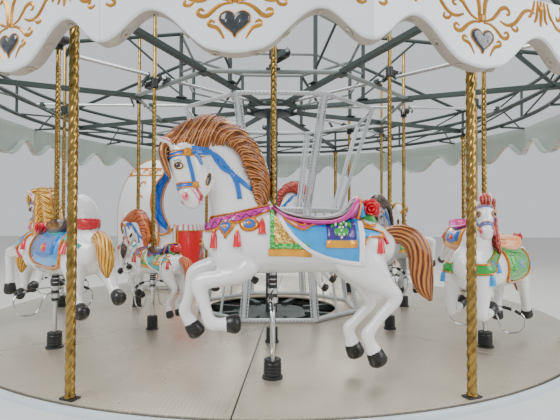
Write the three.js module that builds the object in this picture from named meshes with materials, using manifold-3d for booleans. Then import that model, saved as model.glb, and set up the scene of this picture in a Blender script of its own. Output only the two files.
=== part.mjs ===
// Fairground carousel with sixteen seats: a fixed base and mast, a turning deck
// with columns, fascia and crankshafts, and fourteen horses that rise and fall.
// Millimetres, +Z up, origin on the ground under the centre of the deck.
import * as THREE from 'three';
import { mergeVertices } from 'three/addons/utils/BufferGeometryUtils.js';
import Module from 'manifold-3d';

const wasm = await Module();
wasm.setup();

// Driving dimensions
const ARMS = 8;
const DECK_R = 2750;
const DECK_TOP = 380;
const DECK_PLATE = 20;
const DECK_BORE_R = 675;
const DECK_SEAM_DEG = -4.25;
const SEAT_GAP = 0.3;

const OUTER_RING_R = 2200;
const INNER_RING_R = 1416;
const PEDESTAL_TOP = 299.7;
const MAST_R = 60;
const BEAM_Z = 2468;
const BEAM_DEPTH = 44;
const INNER_OCTAGON_R = 1400;
const OUTER_OCTAGON_R = 2632;
const SHAFT_Z = 2511;
const SHAFT_HALF = 15;
const CRANK_THROW = 120;
const REST_LIFT = 60;
const FIRST_ARM_DEG = -90;
const CHARIOT_ARM = 5;
// Arms whose outer horse stands low at rest
const LOW_OUTER_ARMS = [0, 1, 4, 6];
const CHARIOT_X = -1562;
const CHARIOT_Y = 1404;

const POLE_R = 19;
const STEEL_R = 16;
const POLE_FOOT_Z = 300;
const POLE_TOP_Z = 3180;
const CUP_R = 55;
const CUP_HEIGHT = 125;
const CUP_BORE_R = 21;

const COLUMN_R = 29;
const COLUMN_RING_R = 2712;
const TRUSS_R = 2712;
const TRUSS_LOW_Z = 2410;
const TRUSS_MID_Z = 2585;
const TRUSS_TOP_Z = 2723;
const TRUSS_BAR = 40;
const TRUSS_SIDES = 16;
const STRUT = 30;

const FASCIA_PANELS = 16;
const FASCIA_IN_R = 2940;
const FASCIA_BOARD = 12;
const FASCIA_SOFFIT = 66;
const FASCIA_TOP_Z = 2390;
const LOBE_Z = 2015;
const ARCH_Z = 2205;
const JOINT_Z = 2067;
const FASCIA_LOBE_DEG = -93.35;
const FASCIA_JOINT_GAP_DEG = 0.012;

const CAGE_SHIFT_X = 70;
const CAGE_BASE_R = 840;
const CAGE_WAIST_R = 668;
const CAGE_WAIST_Z = 1018;
const CAGE_HEAD_R = 1000;
const CAGE_HEAD_Z = 2021;
const CAGE_BAR = 40;
const ROOF_RING_R = 976;
const ROOF_RING_Z = 3130;

const RAD = Math.PI / 180;
const armDeg = (arm) => FIRST_ARM_DEG + arm * 360 / ARMS;
const bayDeg = (bay) => armDeg(bay) + 180 / ARMS;
const spots = Array.from({ length: ARMS }, (_, bay) => bay);

const PAINTED_STEEL = { color: 0x39423f, roughness: 0.55, metalness: 0.6 };
const PALE_STEEL = { color: 0xaeb4b4, roughness: 0.4, metalness: 0.7 };
const WHITE_TUBE = { color: 0xdfe2e3, roughness: 0.35, metalness: 0.3 };
const TREAD_PLATE = { color: 0xb9b7ae, roughness: 0.35, metalness: 0.8 };
const WHITE_GLOSS = { color: 0xeef0f2, roughness: 0.2, metalness: 0.0 };
const BRASS = { color: 0xb98d3f, roughness: 0.25, metalness: 1.0 };
const RED_PAINT = { color: 0xc3142a, roughness: 0.35, metalness: 0.0 };

const carousel = new THREE.Group();

// A closed geometry made into a solid, with its faces turned to point out
function solid(geometry) {
  const bare = geometry.clone();
  bare.deleteAttribute('normal');
  bare.deleteAttribute('uv');
  const merged = mergeVertices(bare, 1e-4);
  const vertProperties = new Float32Array(merged.attributes.position.array);
  const triVerts = new Uint32Array(merged.index.array);
  if (signedVolume(vertProperties, triVerts) < 0) turnFaces(triVerts);
  return new wasm.Manifold(new wasm.Mesh({ numProp: 3, vertProperties, triVerts }));
}

function signedVolume(points, corners) {
  const at = (i) => new THREE.Vector3().fromArray(points, 3 * corners[i]);
  let volume = 0;
  for (let i = 0; i < corners.length; i += 3) volume += at(i).cross(at(i + 1)).dot(at(i + 2));
  return volume;
}

function turnFaces(corners) {
  for (let i = 0; i < corners.length; i += 3) {
    [corners[i + 1], corners[i + 2]] = [corners[i + 2], corners[i + 1]];
  }
}

function join(...geometries) {
  return meshOf(geometries.map(solid).reduce((whole, next) => whole.add(next)));
}

function cut(geometry, ...cutters) {
  return meshOf(cutters.map(solid).reduce((whole, next) => whole.subtract(next), solid(geometry)));
}

function meshOf(body) {
  const mesh = body.getMesh();
  const geometry = new THREE.BufferGeometry();
  const points = new Float32Array(mesh.vertProperties);
  geometry.setAttribute('position', new THREE.BufferAttribute(points, 3));
  geometry.setIndex(new THREE.BufferAttribute(new Uint32Array(mesh.triVerts), 1));
  return geometry;
}

function add(name, geometry, finish, parent = carousel) {
  const mesh = new THREE.Mesh(geometry, new THREE.MeshStandardMaterial(finish));
  mesh.name = name;
  parent.add(mesh);
  return mesh;
}

// A point at a radius, an azimuth in degrees and a height
function polar(radius, degrees, z) {
  return new THREE.Vector3(radius * Math.cos(degrees * RAD), radius * Math.sin(degrees * RAD), z);
}

// An upright box: size along x, y, z, and its middle
function block(size, middle) {
  return new THREE.BoxGeometry(...size).translate(...middle);
}

// A square bar between two points, with its depth upright
function bar(from, to, width, depth = width) {
  const along = to.clone().sub(from);
  const length = along.length();
  const x = along.normalize();
  const side = new THREE.Vector3(0, 0, 1).cross(x);
  if (side.length() < 1e-3) side.set(-from.y, from.x, 0);
  side.normalize();
  const up = x.clone().cross(side);
  const place = new THREE.Matrix4().makeBasis(x, side, up);
  place.setPosition(from.clone().add(to).multiplyScalar(0.5));
  return new THREE.BoxGeometry(length, width, depth).applyMatrix4(place);
}

// A round bar between two points
function rod(from, to, radius, sides = 10) {
  const along = to.clone().sub(from);
  const geometry = new THREE.CylinderGeometry(radius, radius, along.length(), sides);
  const turn = new THREE.Quaternion().setFromUnitVectors(
    new THREE.Vector3(0, 1, 0), along.clone().normalize());
  geometry.applyQuaternion(turn);
  return geometry.translate(...from.clone().add(to).multiplyScalar(0.5).toArray());
}

// A turned piece from a closed list of [radius, height]
function turned(profile, sides, firstDeg = 0) {
  const points = profile.map(([radius, z]) => new THREE.Vector2(radius, z));
  const geometry = new THREE.LatheGeometry(points, sides);
  return geometry.rotateX(Math.PI / 2).rotateZ(firstDeg * RAD);
}

function hoop(inner, outer, low, high, sides, firstDeg = 0) {
  const profile = [[inner, low], [outer, low], [outer, high], [inner, high], [inner, low]];
  return turned(profile, sides, firstDeg);
}

// A ring of square tube with one corner at every bay
function octagon(radius, z, width, depth = width) {
  const half = width / 2 / Math.cos(Math.PI / ARMS);
  return hoop(radius - half, radius + half, z - depth / 2, z + depth / 2, ARMS, bayDeg(0));
}

// A closed skin over rings with the same number of points, with flat end caps
function skin(rings, capCorners) {
  const sides = rings[0].length;
  const last = (rings.length - 1) * sides;
  const corners = [];
  for (let base = 0; base < last; base += sides) {
    for (let k = 0; k < sides; k += 1) {
      const a = base + k;
      const b = base + (k + 1) % sides;
      corners.push(a, b, a + sides, b, b + sides, a + sides);
    }
  }
  for (const [a, b, c] of capCorners) {
    corners.push(a, c, b, last + a, last + b, last + c);
  }
  const geometry = new THREE.BufferGeometry();
  const points = rings.flat().flatMap((point) => point.toArray());
  geometry.setAttribute('position', new THREE.Float32BufferAttribute(points, 3));
  geometry.setIndex(corners);
  return geometry;
}

function fan(sides) {
  return Array.from({ length: sides - 2 }, (_, k) => [0, k + 1, k + 2]);
}

// A square bar bent at the corners of a path
function bentBar(path, half) {
  const corners = [[half, half], [-half, half], [-half, -half], [half, -half]];
  const flows = path.slice(1).map((point, i) => point.clone().sub(path[i]).normalize());
  const side = new THREE.Vector3(0, 0, 1).cross(flows[0]).normalize();
  const up = flows[0].clone().cross(side);
  const rings = path.map((point, i) => {
    const flow = flows[Math.max(i - 1, 0)];
    const next = flows[Math.min(i, flows.length - 1)];
    const along = flow.clone().add(next).normalize();
    const ring = corners.map(([a, b]) => {
      const offset = side.clone().multiplyScalar(a).addScaledVector(up, b);
      offset.addScaledVector(flow, -offset.dot(along) / flow.dot(along));
      return point.clone().add(offset);
    });
    const bend = new THREE.Quaternion().setFromUnitVectors(flow, next);
    side.applyQuaternion(bend);
    up.applyQuaternion(bend);
    return ring;
  });
  return skin(rings, fan(corners.length));
}

// Fixed base: a star of beams on square feet, with the pedestal of the slewing ring
function baseFrame() {
  const footR = 2400;
  const pieces = [turned([[0, 0], [360, 0], [360, 150], [260, 150], [260, PEDESTAL_TOP],
    [0, PEDESTAL_TOP]], 16)];
  for (const beam of spots) {
    const deg = beam * 360 / ARMS;
    pieces.push(bar(polar(200, deg, 90), polar(footR + 60, deg, 90), 90, 100));
    pieces.push(bar(polar(footR - 90, deg, 25), polar(footR + 90, deg, 25), 180, 50));
  }
  return join(...pieces);
}

// Fixed mast with the crown wheel that turns the crankshafts
function centreMast() {
  const foot = PEDESTAL_TOP + SEAT_GAP;
  const crownTop = BEAM_Z - 18;
  return join(turned([
    [0, foot], [MAST_R, foot], [MAST_R, crownTop - 60], [200, crownTop - 30],
    [200, crownTop], [0, crownTop],
  ], 16));
}

// Turning underframe: hub plate, joists and rings that carry the deck
function deckFrame() {
  const low = PEDESTAL_TOP + SEAT_GAP;
  const high = DECK_TOP - DECK_PLATE - SEAT_GAP;
  const middle = (low + high) / 2;
  const depth = high - low;
  const pieces = [hoop(MAST_R + 6, 420, low, low + 30, 16), hoop(2650, 2722, low, high, 24),
    octagon(880, middle, 50, depth)];
  for (const bay of spots) {
    const deg = bayDeg(bay);
    pieces.push(bar(polar(380, deg, middle), polar(2690, deg, middle), 60, depth));
  }
  return join(...pieces);
}

// A ring sector between two azimuths, as a plate of one thickness
function sectorPlate(inner, outer, startDeg, endDeg, low, high) {
  const shape = new THREE.Shape();
  shape.absarc(0, 0, outer, startDeg * RAD, endDeg * RAD, false);
  shape.absarc(0, 0, inner, endDeg * RAD, startDeg * RAD, true);
  const geometry = new THREE.ExtrudeGeometry(shape, {
    depth: high - low, bevelEnabled: false, curveSegments: 12,
  });
  return geometry.translate(0, 0, low);
}

// Rides: every arm has an outer and an inner horse, but one arm has the chariot
function rideList() {
  const rides = [];
  for (let arm = 0; arm < ARMS; arm += 1) {
    if (arm === CHARIOT_ARM) continue;
    const phase = LOW_OUTER_ARMS.includes(arm) ? 1 : -1;
    rides.push({ arm, ring: 'outer', radius: OUTER_RING_R, phase });
    rides.push({ arm, ring: 'inner', radius: INNER_RING_R, phase: -phase });
  }
  return rides;
}
const rides = rideList();

// A quarter of the deck with the floor cups of the poles
function deckQuarter(quarter) {
  const gapDeg = 0.01;
  const start = DECK_SEAM_DEG + quarter * 90;
  const places = rides.map((ride) => polar(ride.radius, armDeg(ride.arm), 0)).filter((place) => {
    const deg = (Math.atan2(place.y, place.x) / RAD - start + 720) % 360;
    return deg < 90;
  });
  const low = DECK_TOP - DECK_PLATE;
  const cupTop = DECK_TOP + CUP_HEIGHT;
  const plate = sectorPlate(DECK_BORE_R, DECK_R, start + gapDeg, start + 90 - gapDeg,
    low, DECK_TOP);
  const cups = places.map((place) => turned([[0, DECK_TOP - 6], [CUP_R + 8, DECK_TOP - 6],
    [CUP_R, cupTop - 30], [CUP_R - 18, cupTop], [0, cupTop]], 8).translate(place.x, place.y, 0));
  const bores = places.map((place) => rod(new THREE.Vector3(place.x, place.y, low - 10),
    new THREE.Vector3(place.x, place.y, cupTop + 10), CUP_BORE_R, 8));
  return cut(join(plate, ...cups), ...bores);
}

// The skirt round the rim, hung under the deck's edge, with the lip that its lamps stand on
function skirt() {
  const foot = 60;
  const lip = DECK_TOP - 8;
  const ledge = DECK_TOP - DECK_PLATE - SEAT_GAP;
  return join(turned([
    [2736, ledge], [2762, foot], [2772, foot], [2790, lip - 32], [2790, lip],
    [2757, lip], [2757, ledge], [2736, ledge],
  ], 48));
}

// A brass column on its foot plate, up to the ring truss
function column() {
  const foot = DECK_TOP + SEAT_GAP;
  const top = TRUSS_LOW_Z - TRUSS_BAR / 2 - SEAT_GAP;
  return join(turned([[0, foot], [44, foot], [44, foot + 10], [COLUMN_R, foot + 18],
    [COLUMN_R, top], [0, top]], 8));
}

// The ring truss round the column heads: three rails on struts and the fascia's brackets
function ringTruss() {
  const half = TRUSS_BAR / 2;
  const pieces = [TRUSS_LOW_Z, TRUSS_MID_Z, TRUSS_TOP_Z].map(
    (z) => hoop(TRUSS_R - half, TRUSS_R + half, z - half, z + half, TRUSS_SIDES, bayDeg(0)));
  for (const bay of spots) {
    const deg = bayDeg(bay);
    pieces.push(bar(polar(TRUSS_R, deg, TRUSS_LOW_Z), polar(TRUSS_R, deg, TRUSS_TOP_Z), STRUT));
  }
  const width = 40;
  const turn = Math.PI / FASCIA_PANELS;
  const reach = FASCIA_IN_R / Math.cos(turn) - width / 2 * Math.tan(turn) - SEAT_GAP;
  const z = TRUSS_LOW_Z - half - 6;
  for (let i = 0; i < FASCIA_PANELS; i += 1) {
    const deg = FASCIA_LOBE_DEG + (i + 0.5) * 360 / FASCIA_PANELS;
    pieces.push(bar(polar(TRUSS_R - 66, deg, z), polar(reach, deg, z), width, 16));
  }
  return join(...pieces);
}

// Radial beams, the octagons between them and the bearing posts of the crankshafts
function topFrame() {
  const flat = Math.cos(Math.PI / ARMS);
  const bearingTop = SHAFT_Z - SHAFT_HALF - SEAT_GAP;
  const pieces = [octagon(INNER_OCTAGON_R, BEAM_Z, 40, BEAM_DEPTH),
    octagon(OUTER_OCTAGON_R, BEAM_Z, 36, BEAM_DEPTH), octagon(310, BEAM_Z, 40, BEAM_DEPTH)];
  for (const spot of spots) {
    const bay = bayDeg(spot);
    const arm = armDeg(spot);
    pieces.push(bar(polar(310, bay, BEAM_Z),
      polar(TRUSS_R - STRUT / 2 - SEAT_GAP, bay, BEAM_Z), 40, BEAM_DEPTH));
    for (const radius of [310, INNER_OCTAGON_R, OUTER_OCTAGON_R]) {
      pieces.push(bar(polar(radius * flat, arm, BEAM_Z),
        polar(radius * flat, arm, bearingTop), 30));
    }
  }
  return join(...pieces);
}

// The roof frame: posts on the radial beams, a crown ring and rafters down to the top rail
function roofFrame() {
  const width = 36;
  const fall = Math.atan2(ROOF_RING_Z - TRUSS_TOP_Z, TRUSS_R - ROOF_RING_R);
  const end = TRUSS_R - TRUSS_BAR / 2 - SEAT_GAP
    - width / 2 * (Math.tan(Math.PI / TRUSS_SIDES) + Math.sin(fall));
  const foot = BEAM_Z + BEAM_DEPTH / 2 + SEAT_GAP;
  const pieces = [octagon(ROOF_RING_R, ROOF_RING_Z, 40)];
  for (const bay of spots) {
    const deg = bayDeg(bay);
    pieces.push(bar(polar(ROOF_RING_R, deg, foot), polar(ROOF_RING_R, deg, ROOF_RING_Z), width));
    pieces.push(bar(polar(ROOF_RING_R, deg, ROOF_RING_Z), polar(end, deg, TRUSS_TOP_Z), width));
  }
  return join(...pieces);
}

// The cage in the middle: an hourglass of white tubes with a foot, a waist and a head ring
function cage() {
  const footZ = DECK_TOP + CAGE_BAR / 2 + SEAT_GAP;
  const waistZ = DECK_TOP + CAGE_WAIST_Z;
  const headZ = DECK_TOP + CAGE_HEAD_Z;
  const pieces = [
    octagon(CAGE_BASE_R, footZ, CAGE_BAR),
    octagon(CAGE_WAIST_R, waistZ, CAGE_BAR),
    octagon(CAGE_HEAD_R, headZ, CAGE_BAR),
  ];
  for (const bay of spots) {
    const deg = bayDeg(bay);
    pieces.push(bentBar([polar(CAGE_BASE_R, deg, footZ), polar(CAGE_WAIST_R, deg, waistZ),
      polar(CAGE_HEAD_R, deg, headZ)], 17));
  }
  return join(...pieces);
}

// Height of the pin of a crank above its shaft at rest, for a ride of one phase
const pinLift = (phase) => -REST_LIFT * phase;
const PIN_OFFSET = Math.sqrt(CRANK_THROW ** 2 - REST_LIFT ** 2);

// The eight crankshafts, joined by the ring of their inner bearings
function crankshafts() {
  const innerEnd = 240;
  const outerEnd = 2520;
  const webAt = 58;
  const shafts = spots.map((arm) => {
    const deg = armDeg(arm);
    const path = [polar(innerEnd, deg, SHAFT_Z)];
    for (const ring of ['inner', 'outer']) {
      const ride = rides.find((each) => each.arm === arm && each.ring === ring);
      if (!ride) continue;
      const shift = polar(PIN_OFFSET * ride.phase, deg - 90, pinLift(ride.phase));
      const near = polar(ride.radius - webAt, deg, SHAFT_Z);
      const far = polar(ride.radius + webAt, deg, SHAFT_Z);
      path.push(near, near.clone().add(shift), far.clone().add(shift), far);
    }
    path.push(polar(outerEnd, deg, SHAFT_Z));
    return bentBar(path, SHAFT_HALF);
  });
  const ring = hoop(innerEnd - 15, innerEnd + 22, SHAFT_Z - 20, SHAFT_Z + 20, 16);
  return join(ring, ...shafts);
}

// Lower edge of the fascia at a share of half a panel, from its lobe to its joint
function fasciaEdge(share) {
  const flat = 0.14;
  const peak = 0.63;
  if (share < flat) return LOBE_Z;
  if (share < peak) {
    const t = (share - flat) / (peak - flat);
    return LOBE_Z + (ARCH_Z - LOBE_Z) * (1 - Math.cos(Math.PI * t)) / 2;
  }
  const t = (share - peak) / (1 - peak);
  return ARCH_Z + (JOINT_Z - ARCH_Z) * (1 - Math.cos(Math.PI * t)) / 2;
}

// Two flat fascia panels side by side: a board with a soffit along its lower edge
function fasciaPair(pair) {
  const half = 180 / FASCIA_PANELS;
  const soffit = 14;
  const first = FASCIA_LOBE_DEG + 4 * pair * half;
  const inner = FASCIA_IN_R;
  const outer = FASCIA_IN_R + FASCIA_BOARD;
  const shares = [0.14, 0.3, 0.47, 0.63, 0.81, 1];
  const rings = [];
  for (const middle of [first, first + 2 * half]) {
    for (const share of [...shares.map((each) => -each).reverse(), ...shares]) {
      const joint = share === -1 && middle === first || share === 1 && middle !== first;
      if (Math.abs(share) === 1 && !joint && share === -1) continue;
      const turn = share * (half - (joint ? FASCIA_JOINT_GAP_DEG : 0));
      const z = fasciaEdge(Math.abs(share));
      const section = [[outer, FASCIA_TOP_Z], [outer, z], [inner - FASCIA_SOFFIT, z],
        [inner - FASCIA_SOFFIT, z + soffit], [inner, z + soffit], [inner, FASCIA_TOP_Z]];
      rings.push(section.map(
        ([face, height]) => polar(face / Math.cos(turn * RAD), middle + turn, height)));
    }
  }
  return skin(rings, [[0, 1, 4], [0, 4, 5], [1, 2, 3], [1, 3, 4]]);
}

// A skin over rings along a path in the upright plane of a horse.
// Each ring is [x, z, half width, half depth, and how far it leans outward].
function loft(list, side, sides) {
  const across = new THREE.Vector3(0, 1, 0);
  const centre = (ring) => new THREE.Vector3(ring[0], side + (ring[4] ?? 0), ring[1]);
  const rings = list.map((ring, i) => {
    const along = centre(list[Math.min(i + 1, list.length - 1)])
      .sub(centre(list[Math.max(i - 1, 0)])).normalize();
    const up = along.clone().cross(across).normalize();
    return Array.from({ length: sides }, (_, k) => {
      const turn = 2 * Math.PI * (k + 0.5) / sides;
      return centre(ring).addScaledVector(across, ring[2] * Math.cos(turn))
        .addScaledVector(up, ring[3] * Math.sin(turn));
    });
  });
  return skin(rings, fan(sides));
}

// The prancing horse, head high; its lists run from front to back or from body to foot
const PRANCER = {
  barrel: [[405, 882, 66, 92], [300, 878, 144, 180], [0, 848, 180, 184],
    [-400, 840, 180, 170], [-600, 830, 154, 142], [-692, 820, 60, 66]],
  neck: [[190, 960, 125, 220], [260, 1170, 108, 205, 20], [370, 1370, 92, 175, 50],
    [520, 1465, 70, 96, 70]],
  head: [[500, 1475, 74, 96, 60], [580, 1380, 86, 126, 80], [545, 1210, 66, 96, 120],
    [490, 1050, 50, 58, 150]],
  tail: [[-640, 865, 64, 54], [-790, 885, 72, 66], [-905, 715, 70, 70], [-945, 520, 34, 34]],
  legs: [
    { side: 100, rings: [[140, 730, 64, 74], [412, 640, 46, 50], [362, 408, 36, 40],
      [205, 393, 50, 54]] },
    { side: -100, rings: [[260, 790, 64, 110], [482, 668, 46, 50], [526, 440, 36, 40],
      [448, 304, 50, 54]] },
    { side: 100, rings: [[-500, 800, 80, 140], [-704, 545, 46, 52], [-545, 325, 36, 40],
      [-600, 182, 52, 54]] },
    { side: -100, rings: [[-460, 800, 80, 140], [-602, 480, 46, 52], [-466, 320, 36, 40],
      [-506, 172, 52, 54]] },
  ],
  saddle: { back: -520, seat: 1010, cantle: 1112 },
};

// The leaping horse, head forward and low, with its hind legs thrown back
const LEAPER = {
  barrel: [[402, 670, 76, 90], [300, 652, 140, 162], [0, 634, 170, 178],
    [-400, 640, 172, 176], [-560, 648, 150, 150], [-658, 655, 84, 84]],
  neck: [[196, 730, 115, 190], [250, 880, 94, 150, -6], [284, 1010, 68, 90, -18]],
  head: [[276, 1052, 58, 62, -20], [330, 980, 74, 88, 8], [356, 845, 50, 62, 32],
    [352, 765, 38, 42, 36]],
  tail: [[-600, 690, 60, 54], [-715, 735, 64, 60], [-790, 570, 44, 44]],
  legs: [
    { side: 100, rings: [[300, 640, 60, 110], [705, 585, 46, 50], [710, 400, 36, 38],
      [700, 300, 50, 52]] },
    { side: -100, rings: [[280, 620, 60, 110], [400, 470, 46, 50], [285, 405, 36, 38],
      [215, 360, 48, 46]] },
    { side: 95, rings: [[-520, 640, 76, 126], [-560, 420, 46, 52], [-600, 330, 36, 38],
      [-650, 300, 48, 46]] },
    { side: -95, rings: [[-520, 640, 76, 126], [-650, 475, 46, 52], [-720, 405, 36, 38],
      [-770, 372, 48, 46]] },
  ],
  saddle: { back: -500, seat: 788, cantle: 1010 },
};

// The walking horse, built like the leaping one, with its head turned out and its legs down
const RUNNER = {
  ...LEAPER,
  neck: [[200, 730, 115, 190, -10], [310, 880, 94, 160, -50], [440, 1000, 72, 94, -95]],
  head: [[424, 1012, 68, 80, -100], [505, 960, 74, 90, -108], [545, 835, 42, 46, -112]],
  saddle: { back: -500, seat: 788, cantle: 830 },
};
const WALKER = {
  ...LEAPER,
  neck: [[190, 730, 115, 190], [225, 880, 88, 140, 35], [255, 1040, 66, 92, 72]],
  head: [[262, 1092, 60, 64, 78], [345, 1040, 68, 88, 125], [430, 890, 42, 50, 172]],
  tail: [[-600, 690, 60, 54], [-700, 700, 60, 60], [-728, 560, 56, 50], [-748, 400, 32, 30]],
  legs: [
    { side: 108, rings: [[290, 640, 60, 110], [330, 480, 46, 52], [350, 352, 42, 44],
      [205, 375, 46, 46]] },
    { side: -108, rings: [[280, 640, 60, 110], [318, 480, 46, 52], [334, 362, 42, 44],
      [190, 392, 46, 46]] },
    { side: 95, rings: [[-520, 640, 76, 126], [-600, 420, 46, 52], [-650, 300, 36, 38],
      [-690, 215, 48, 50]] },
    { side: -95, rings: [[-500, 640, 76, 126], [-560, 410, 46, 52], [-530, 300, 36, 38],
      [-520, 190, 50, 52]] },
  ],
  saddle: { back: -500, seat: 788, cantle: 830 },
};
// The form of the outer horse of each arm; the chariot's arm has none
const OUTER_FORMS = [PRANCER, WALKER, RUNNER, LEAPER, PRANCER, null, RUNNER, LEAPER];

// The horse's solid at a scale, raised by a distance, with the bore for its pole
function horse(form, scale, raise) {
  const { saddle } = form;
  const cantle = block([60, 230, saddle.cantle - saddle.seat + 70],
    [saddle.back, 0, (saddle.cantle + saddle.seat - 70) / 2]);
  const whole = join(
    loft(form.barrel, 0, 8), loft(form.neck, 0, 6), loft(form.head, 0, 6),
    loft(form.tail, 0, 4), cantle, ...form.legs.map((leg) => loft(leg.rings, leg.side, 4)));
  whole.scale(scale, scale, scale).translate(0, 0, raise);
  const bore = rod(new THREE.Vector3(0, 0, -100), new THREE.Vector3(0, 0, 2400), POLE_R + 0.5, 8);
  return cut(whole, bore);
}

// A pole with its steel foot, its brass upper length and the hanger beside the crank's pin
function pole(joinZ, phase) {
  const rise = POLE_FOOT_Z - DECK_TOP;
  const top = POLE_TOP_Z - DECK_TOP;
  const shaft = turned([[0, rise], [STEEL_R, rise], [STEEL_R, joinZ - 20], [POLE_R, joinZ],
    [POLE_R, top], [0, top]], 8);
  const hangerZ = SHAFT_Z - DECK_TOP;
  const reach = PIN_OFFSET - SHAFT_HALF - SEAT_GAP;
  const hanger = block([reach + 30, 56, 90], [(reach - 30) / 2 * phase, 0, hangerZ]);
  return join(shaft, hanger);
}

// An egg about the middle of the hood's rim, pointed above and tub-shaped below
function egg(depth, halfWidth, halfHeight, z) {
  const fullness = 5;
  const geometry = new THREE.SphereGeometry(1, 14, 12).rotateX(Math.PI / 2);
  const { position } = geometry.attributes;
  for (let i = 0; i < position.count; i += 1) {
    const level = position.getZ(i);
    const reach = Math.hypot(position.getX(i), position.getY(i));
    if (level > -0.01 || reach < 0.01) continue;
    const swell = (1 - (-level) ** fullness) ** (1 / fullness) / reach;
    position.setXY(i, position.getX(i) * swell, position.getY(i) * swell);
  }
  return geometry.scale(depth, halfWidth, halfHeight).translate(0, 0, z);
}

// The chariot: a hooded shell with low sides, a floor and a round-backed bench
function chariotShell() {
  const halfWidth = 350;
  const wall = 34;
  const middle = 960;
  const seatFront = 20;
  const seatDepth = 400;
  const seatRise = 450;
  const outer = egg(515, halfWidth, 768, middle);
  const inner = egg(515 - wall, halfWidth - wall, 768 - wall, middle);
  const front = block([1200, 1200, 2400], [600, 0, 1100]);
  const floor = block([500, 2 * halfWidth - 60, 40], [80, 0, 80]);
  const hood = cut(outer, inner, front);
  const seat = new THREE.Shape();
  seat.absellipse(seatFront, 0, seatDepth, halfWidth - 60, Math.PI / 2, 3 * Math.PI / 2, false, 0);
  const bench = new THREE.ExtrudeGeometry(seat, {
    depth: seatRise, bevelEnabled: false, curveSegments: 7,
  });
  const parts = [hood, floor, bench.translate(0, 0, 60)];
  for (const side of [-1, 1]) {
    const y = side * (halfWidth - wall / 2);
    parts.push(block([366, wall, 760], [153, y, 440]));
    parts.push(block([500, 60, 70], [20, side * 200, 35]));
  }
  return join(...parts);
}

// The red front of the chariot, bent round its nose
function chariotDash() {
  const wall = 30;
  const [depth, halfWidth] = [310, 345];
  const shape = new THREE.Shape();
  shape.absellipse(0, 0, depth, halfWidth, -Math.PI / 2, Math.PI / 2, false, 0);
  shape.absellipse(0, 0, depth - wall, halfWidth - wall, Math.PI / 2, -Math.PI / 2, true, 0);
  const geometry = new THREE.ExtrudeGeometry(shape, {
    depth: 740, bevelEnabled: false, curveSegments: 12,
  });
  return join(geometry.translate(336 + SEAT_GAP, 0, 90));
}

// Assembly
add('base_frame', baseFrame(), PAINTED_STEEL);
add('centre_mast', centreMast(), PAINTED_STEEL);
add('deck_frame', deckFrame(), PAINTED_STEEL);
add('skirt', skirt(), WHITE_GLOSS);
for (let quarter = 0; quarter < 4; quarter += 1) {
  add(`deck_quarter_${quarter + 1}`, deckQuarter(quarter), TREAD_PLATE);
}
for (const bay of spots) {
  const place = polar(COLUMN_RING_R, bayDeg(bay), 0);
  add(`column_${bay + 1}`, column(), BRASS).position.copy(place);
  add(`fascia_pair_${bay + 1}`, fasciaPair(bay), WHITE_GLOSS);
}
add('cage', cage(), WHITE_TUBE).position.x = CAGE_SHIFT_X;
add('ring_truss', ringTruss(), PAINTED_STEEL);
add('top_frame', topFrame(), PAINTED_STEEL);
add('roof_frame', roofFrame(), PAINTED_STEEL);
add('crankshafts', crankshafts(), PALE_STEEL);

function ridePlace(arm, radius, lift) {
  const place = new THREE.Group();
  place.position.copy(polar(radius, armDeg(arm), DECK_TOP + lift));
  place.rotation.z = (armDeg(arm) - 90) * RAD;
  carousel.add(place);
  return place;
}

const INNER_SCALE = 0.6;
const INNER_RAISE = 118;
for (const ride of rides) {
  const place = ridePlace(ride.arm, ride.radius, pinLift(ride.phase));
  const label = `${ride.ring}_${ride.arm + 1}`;
  const outer = ride.ring === 'outer';
  const form = outer ? OUTER_FORMS[ride.arm] : (ride.arm % 2 === 0 ? LEAPER : PRANCER);
  const scale = outer ? 1 : INNER_SCALE;
  const raise = outer ? 0 : INNER_RAISE + (form === LEAPER ? 60 : 0);
  const joinZ = form.saddle.seat * scale + raise - 60 * scale;
  add(`horse_${label}`, horse(form, scale, raise), WHITE_GLOSS, place);
  add(`pole_${label}`, pole(joinZ, ride.phase), BRASS, place);
}
const chariotPlace = new THREE.Group();
chariotPlace.position.set(CHARIOT_X, CHARIOT_Y, DECK_TOP + SEAT_GAP);
carousel.add(chariotPlace);
add('chariot_shell', chariotShell(), WHITE_GLOSS, chariotPlace);
add('chariot_dash', chariotDash(), RED_PAINT, chariotPlace);

export default carousel;
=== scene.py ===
"""Looks of a fairground carousel: turning deck, twisted brass columns, scalloped fascia,
steel top frame, white cage, chariot and fourteen painted horses. Metres, +Z up."""
import math
import random
from functools import partial

import bmesh
import bpy
from mathutils import Matrix, Vector


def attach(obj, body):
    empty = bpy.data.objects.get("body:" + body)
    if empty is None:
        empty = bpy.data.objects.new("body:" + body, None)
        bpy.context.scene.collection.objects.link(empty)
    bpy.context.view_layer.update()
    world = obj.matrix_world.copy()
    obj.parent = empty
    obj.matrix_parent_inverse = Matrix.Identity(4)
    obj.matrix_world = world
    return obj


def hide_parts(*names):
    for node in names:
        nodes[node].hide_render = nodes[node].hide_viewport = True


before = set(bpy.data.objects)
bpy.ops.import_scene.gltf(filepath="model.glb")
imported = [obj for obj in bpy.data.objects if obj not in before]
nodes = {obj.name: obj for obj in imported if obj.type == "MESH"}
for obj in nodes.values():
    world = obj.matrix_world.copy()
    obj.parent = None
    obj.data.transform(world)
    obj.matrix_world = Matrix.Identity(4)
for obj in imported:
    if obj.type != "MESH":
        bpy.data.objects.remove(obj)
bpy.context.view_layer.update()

# Driving dimensions, in metres
ARMS = 8
CHARIOT_ARM = 5
BAY_DEG = 45
PANEL_DEG = 22.5
DECK_R = 2.75
DECK_TOP = 0.38
DECK_BORE_R = 0.675
DECK_SEAM_DEG = -94.25
OUTER_RING_R = 2.2
LOW_OUTER_ARMS = (0, 1, 4, 6)
INNER_RING_R = 1.416
COLUMN_R = 0.0265
TRUSS_R = 2.712
BEAM_Z = 2.468
SHAFT_Z = 2.511
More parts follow.
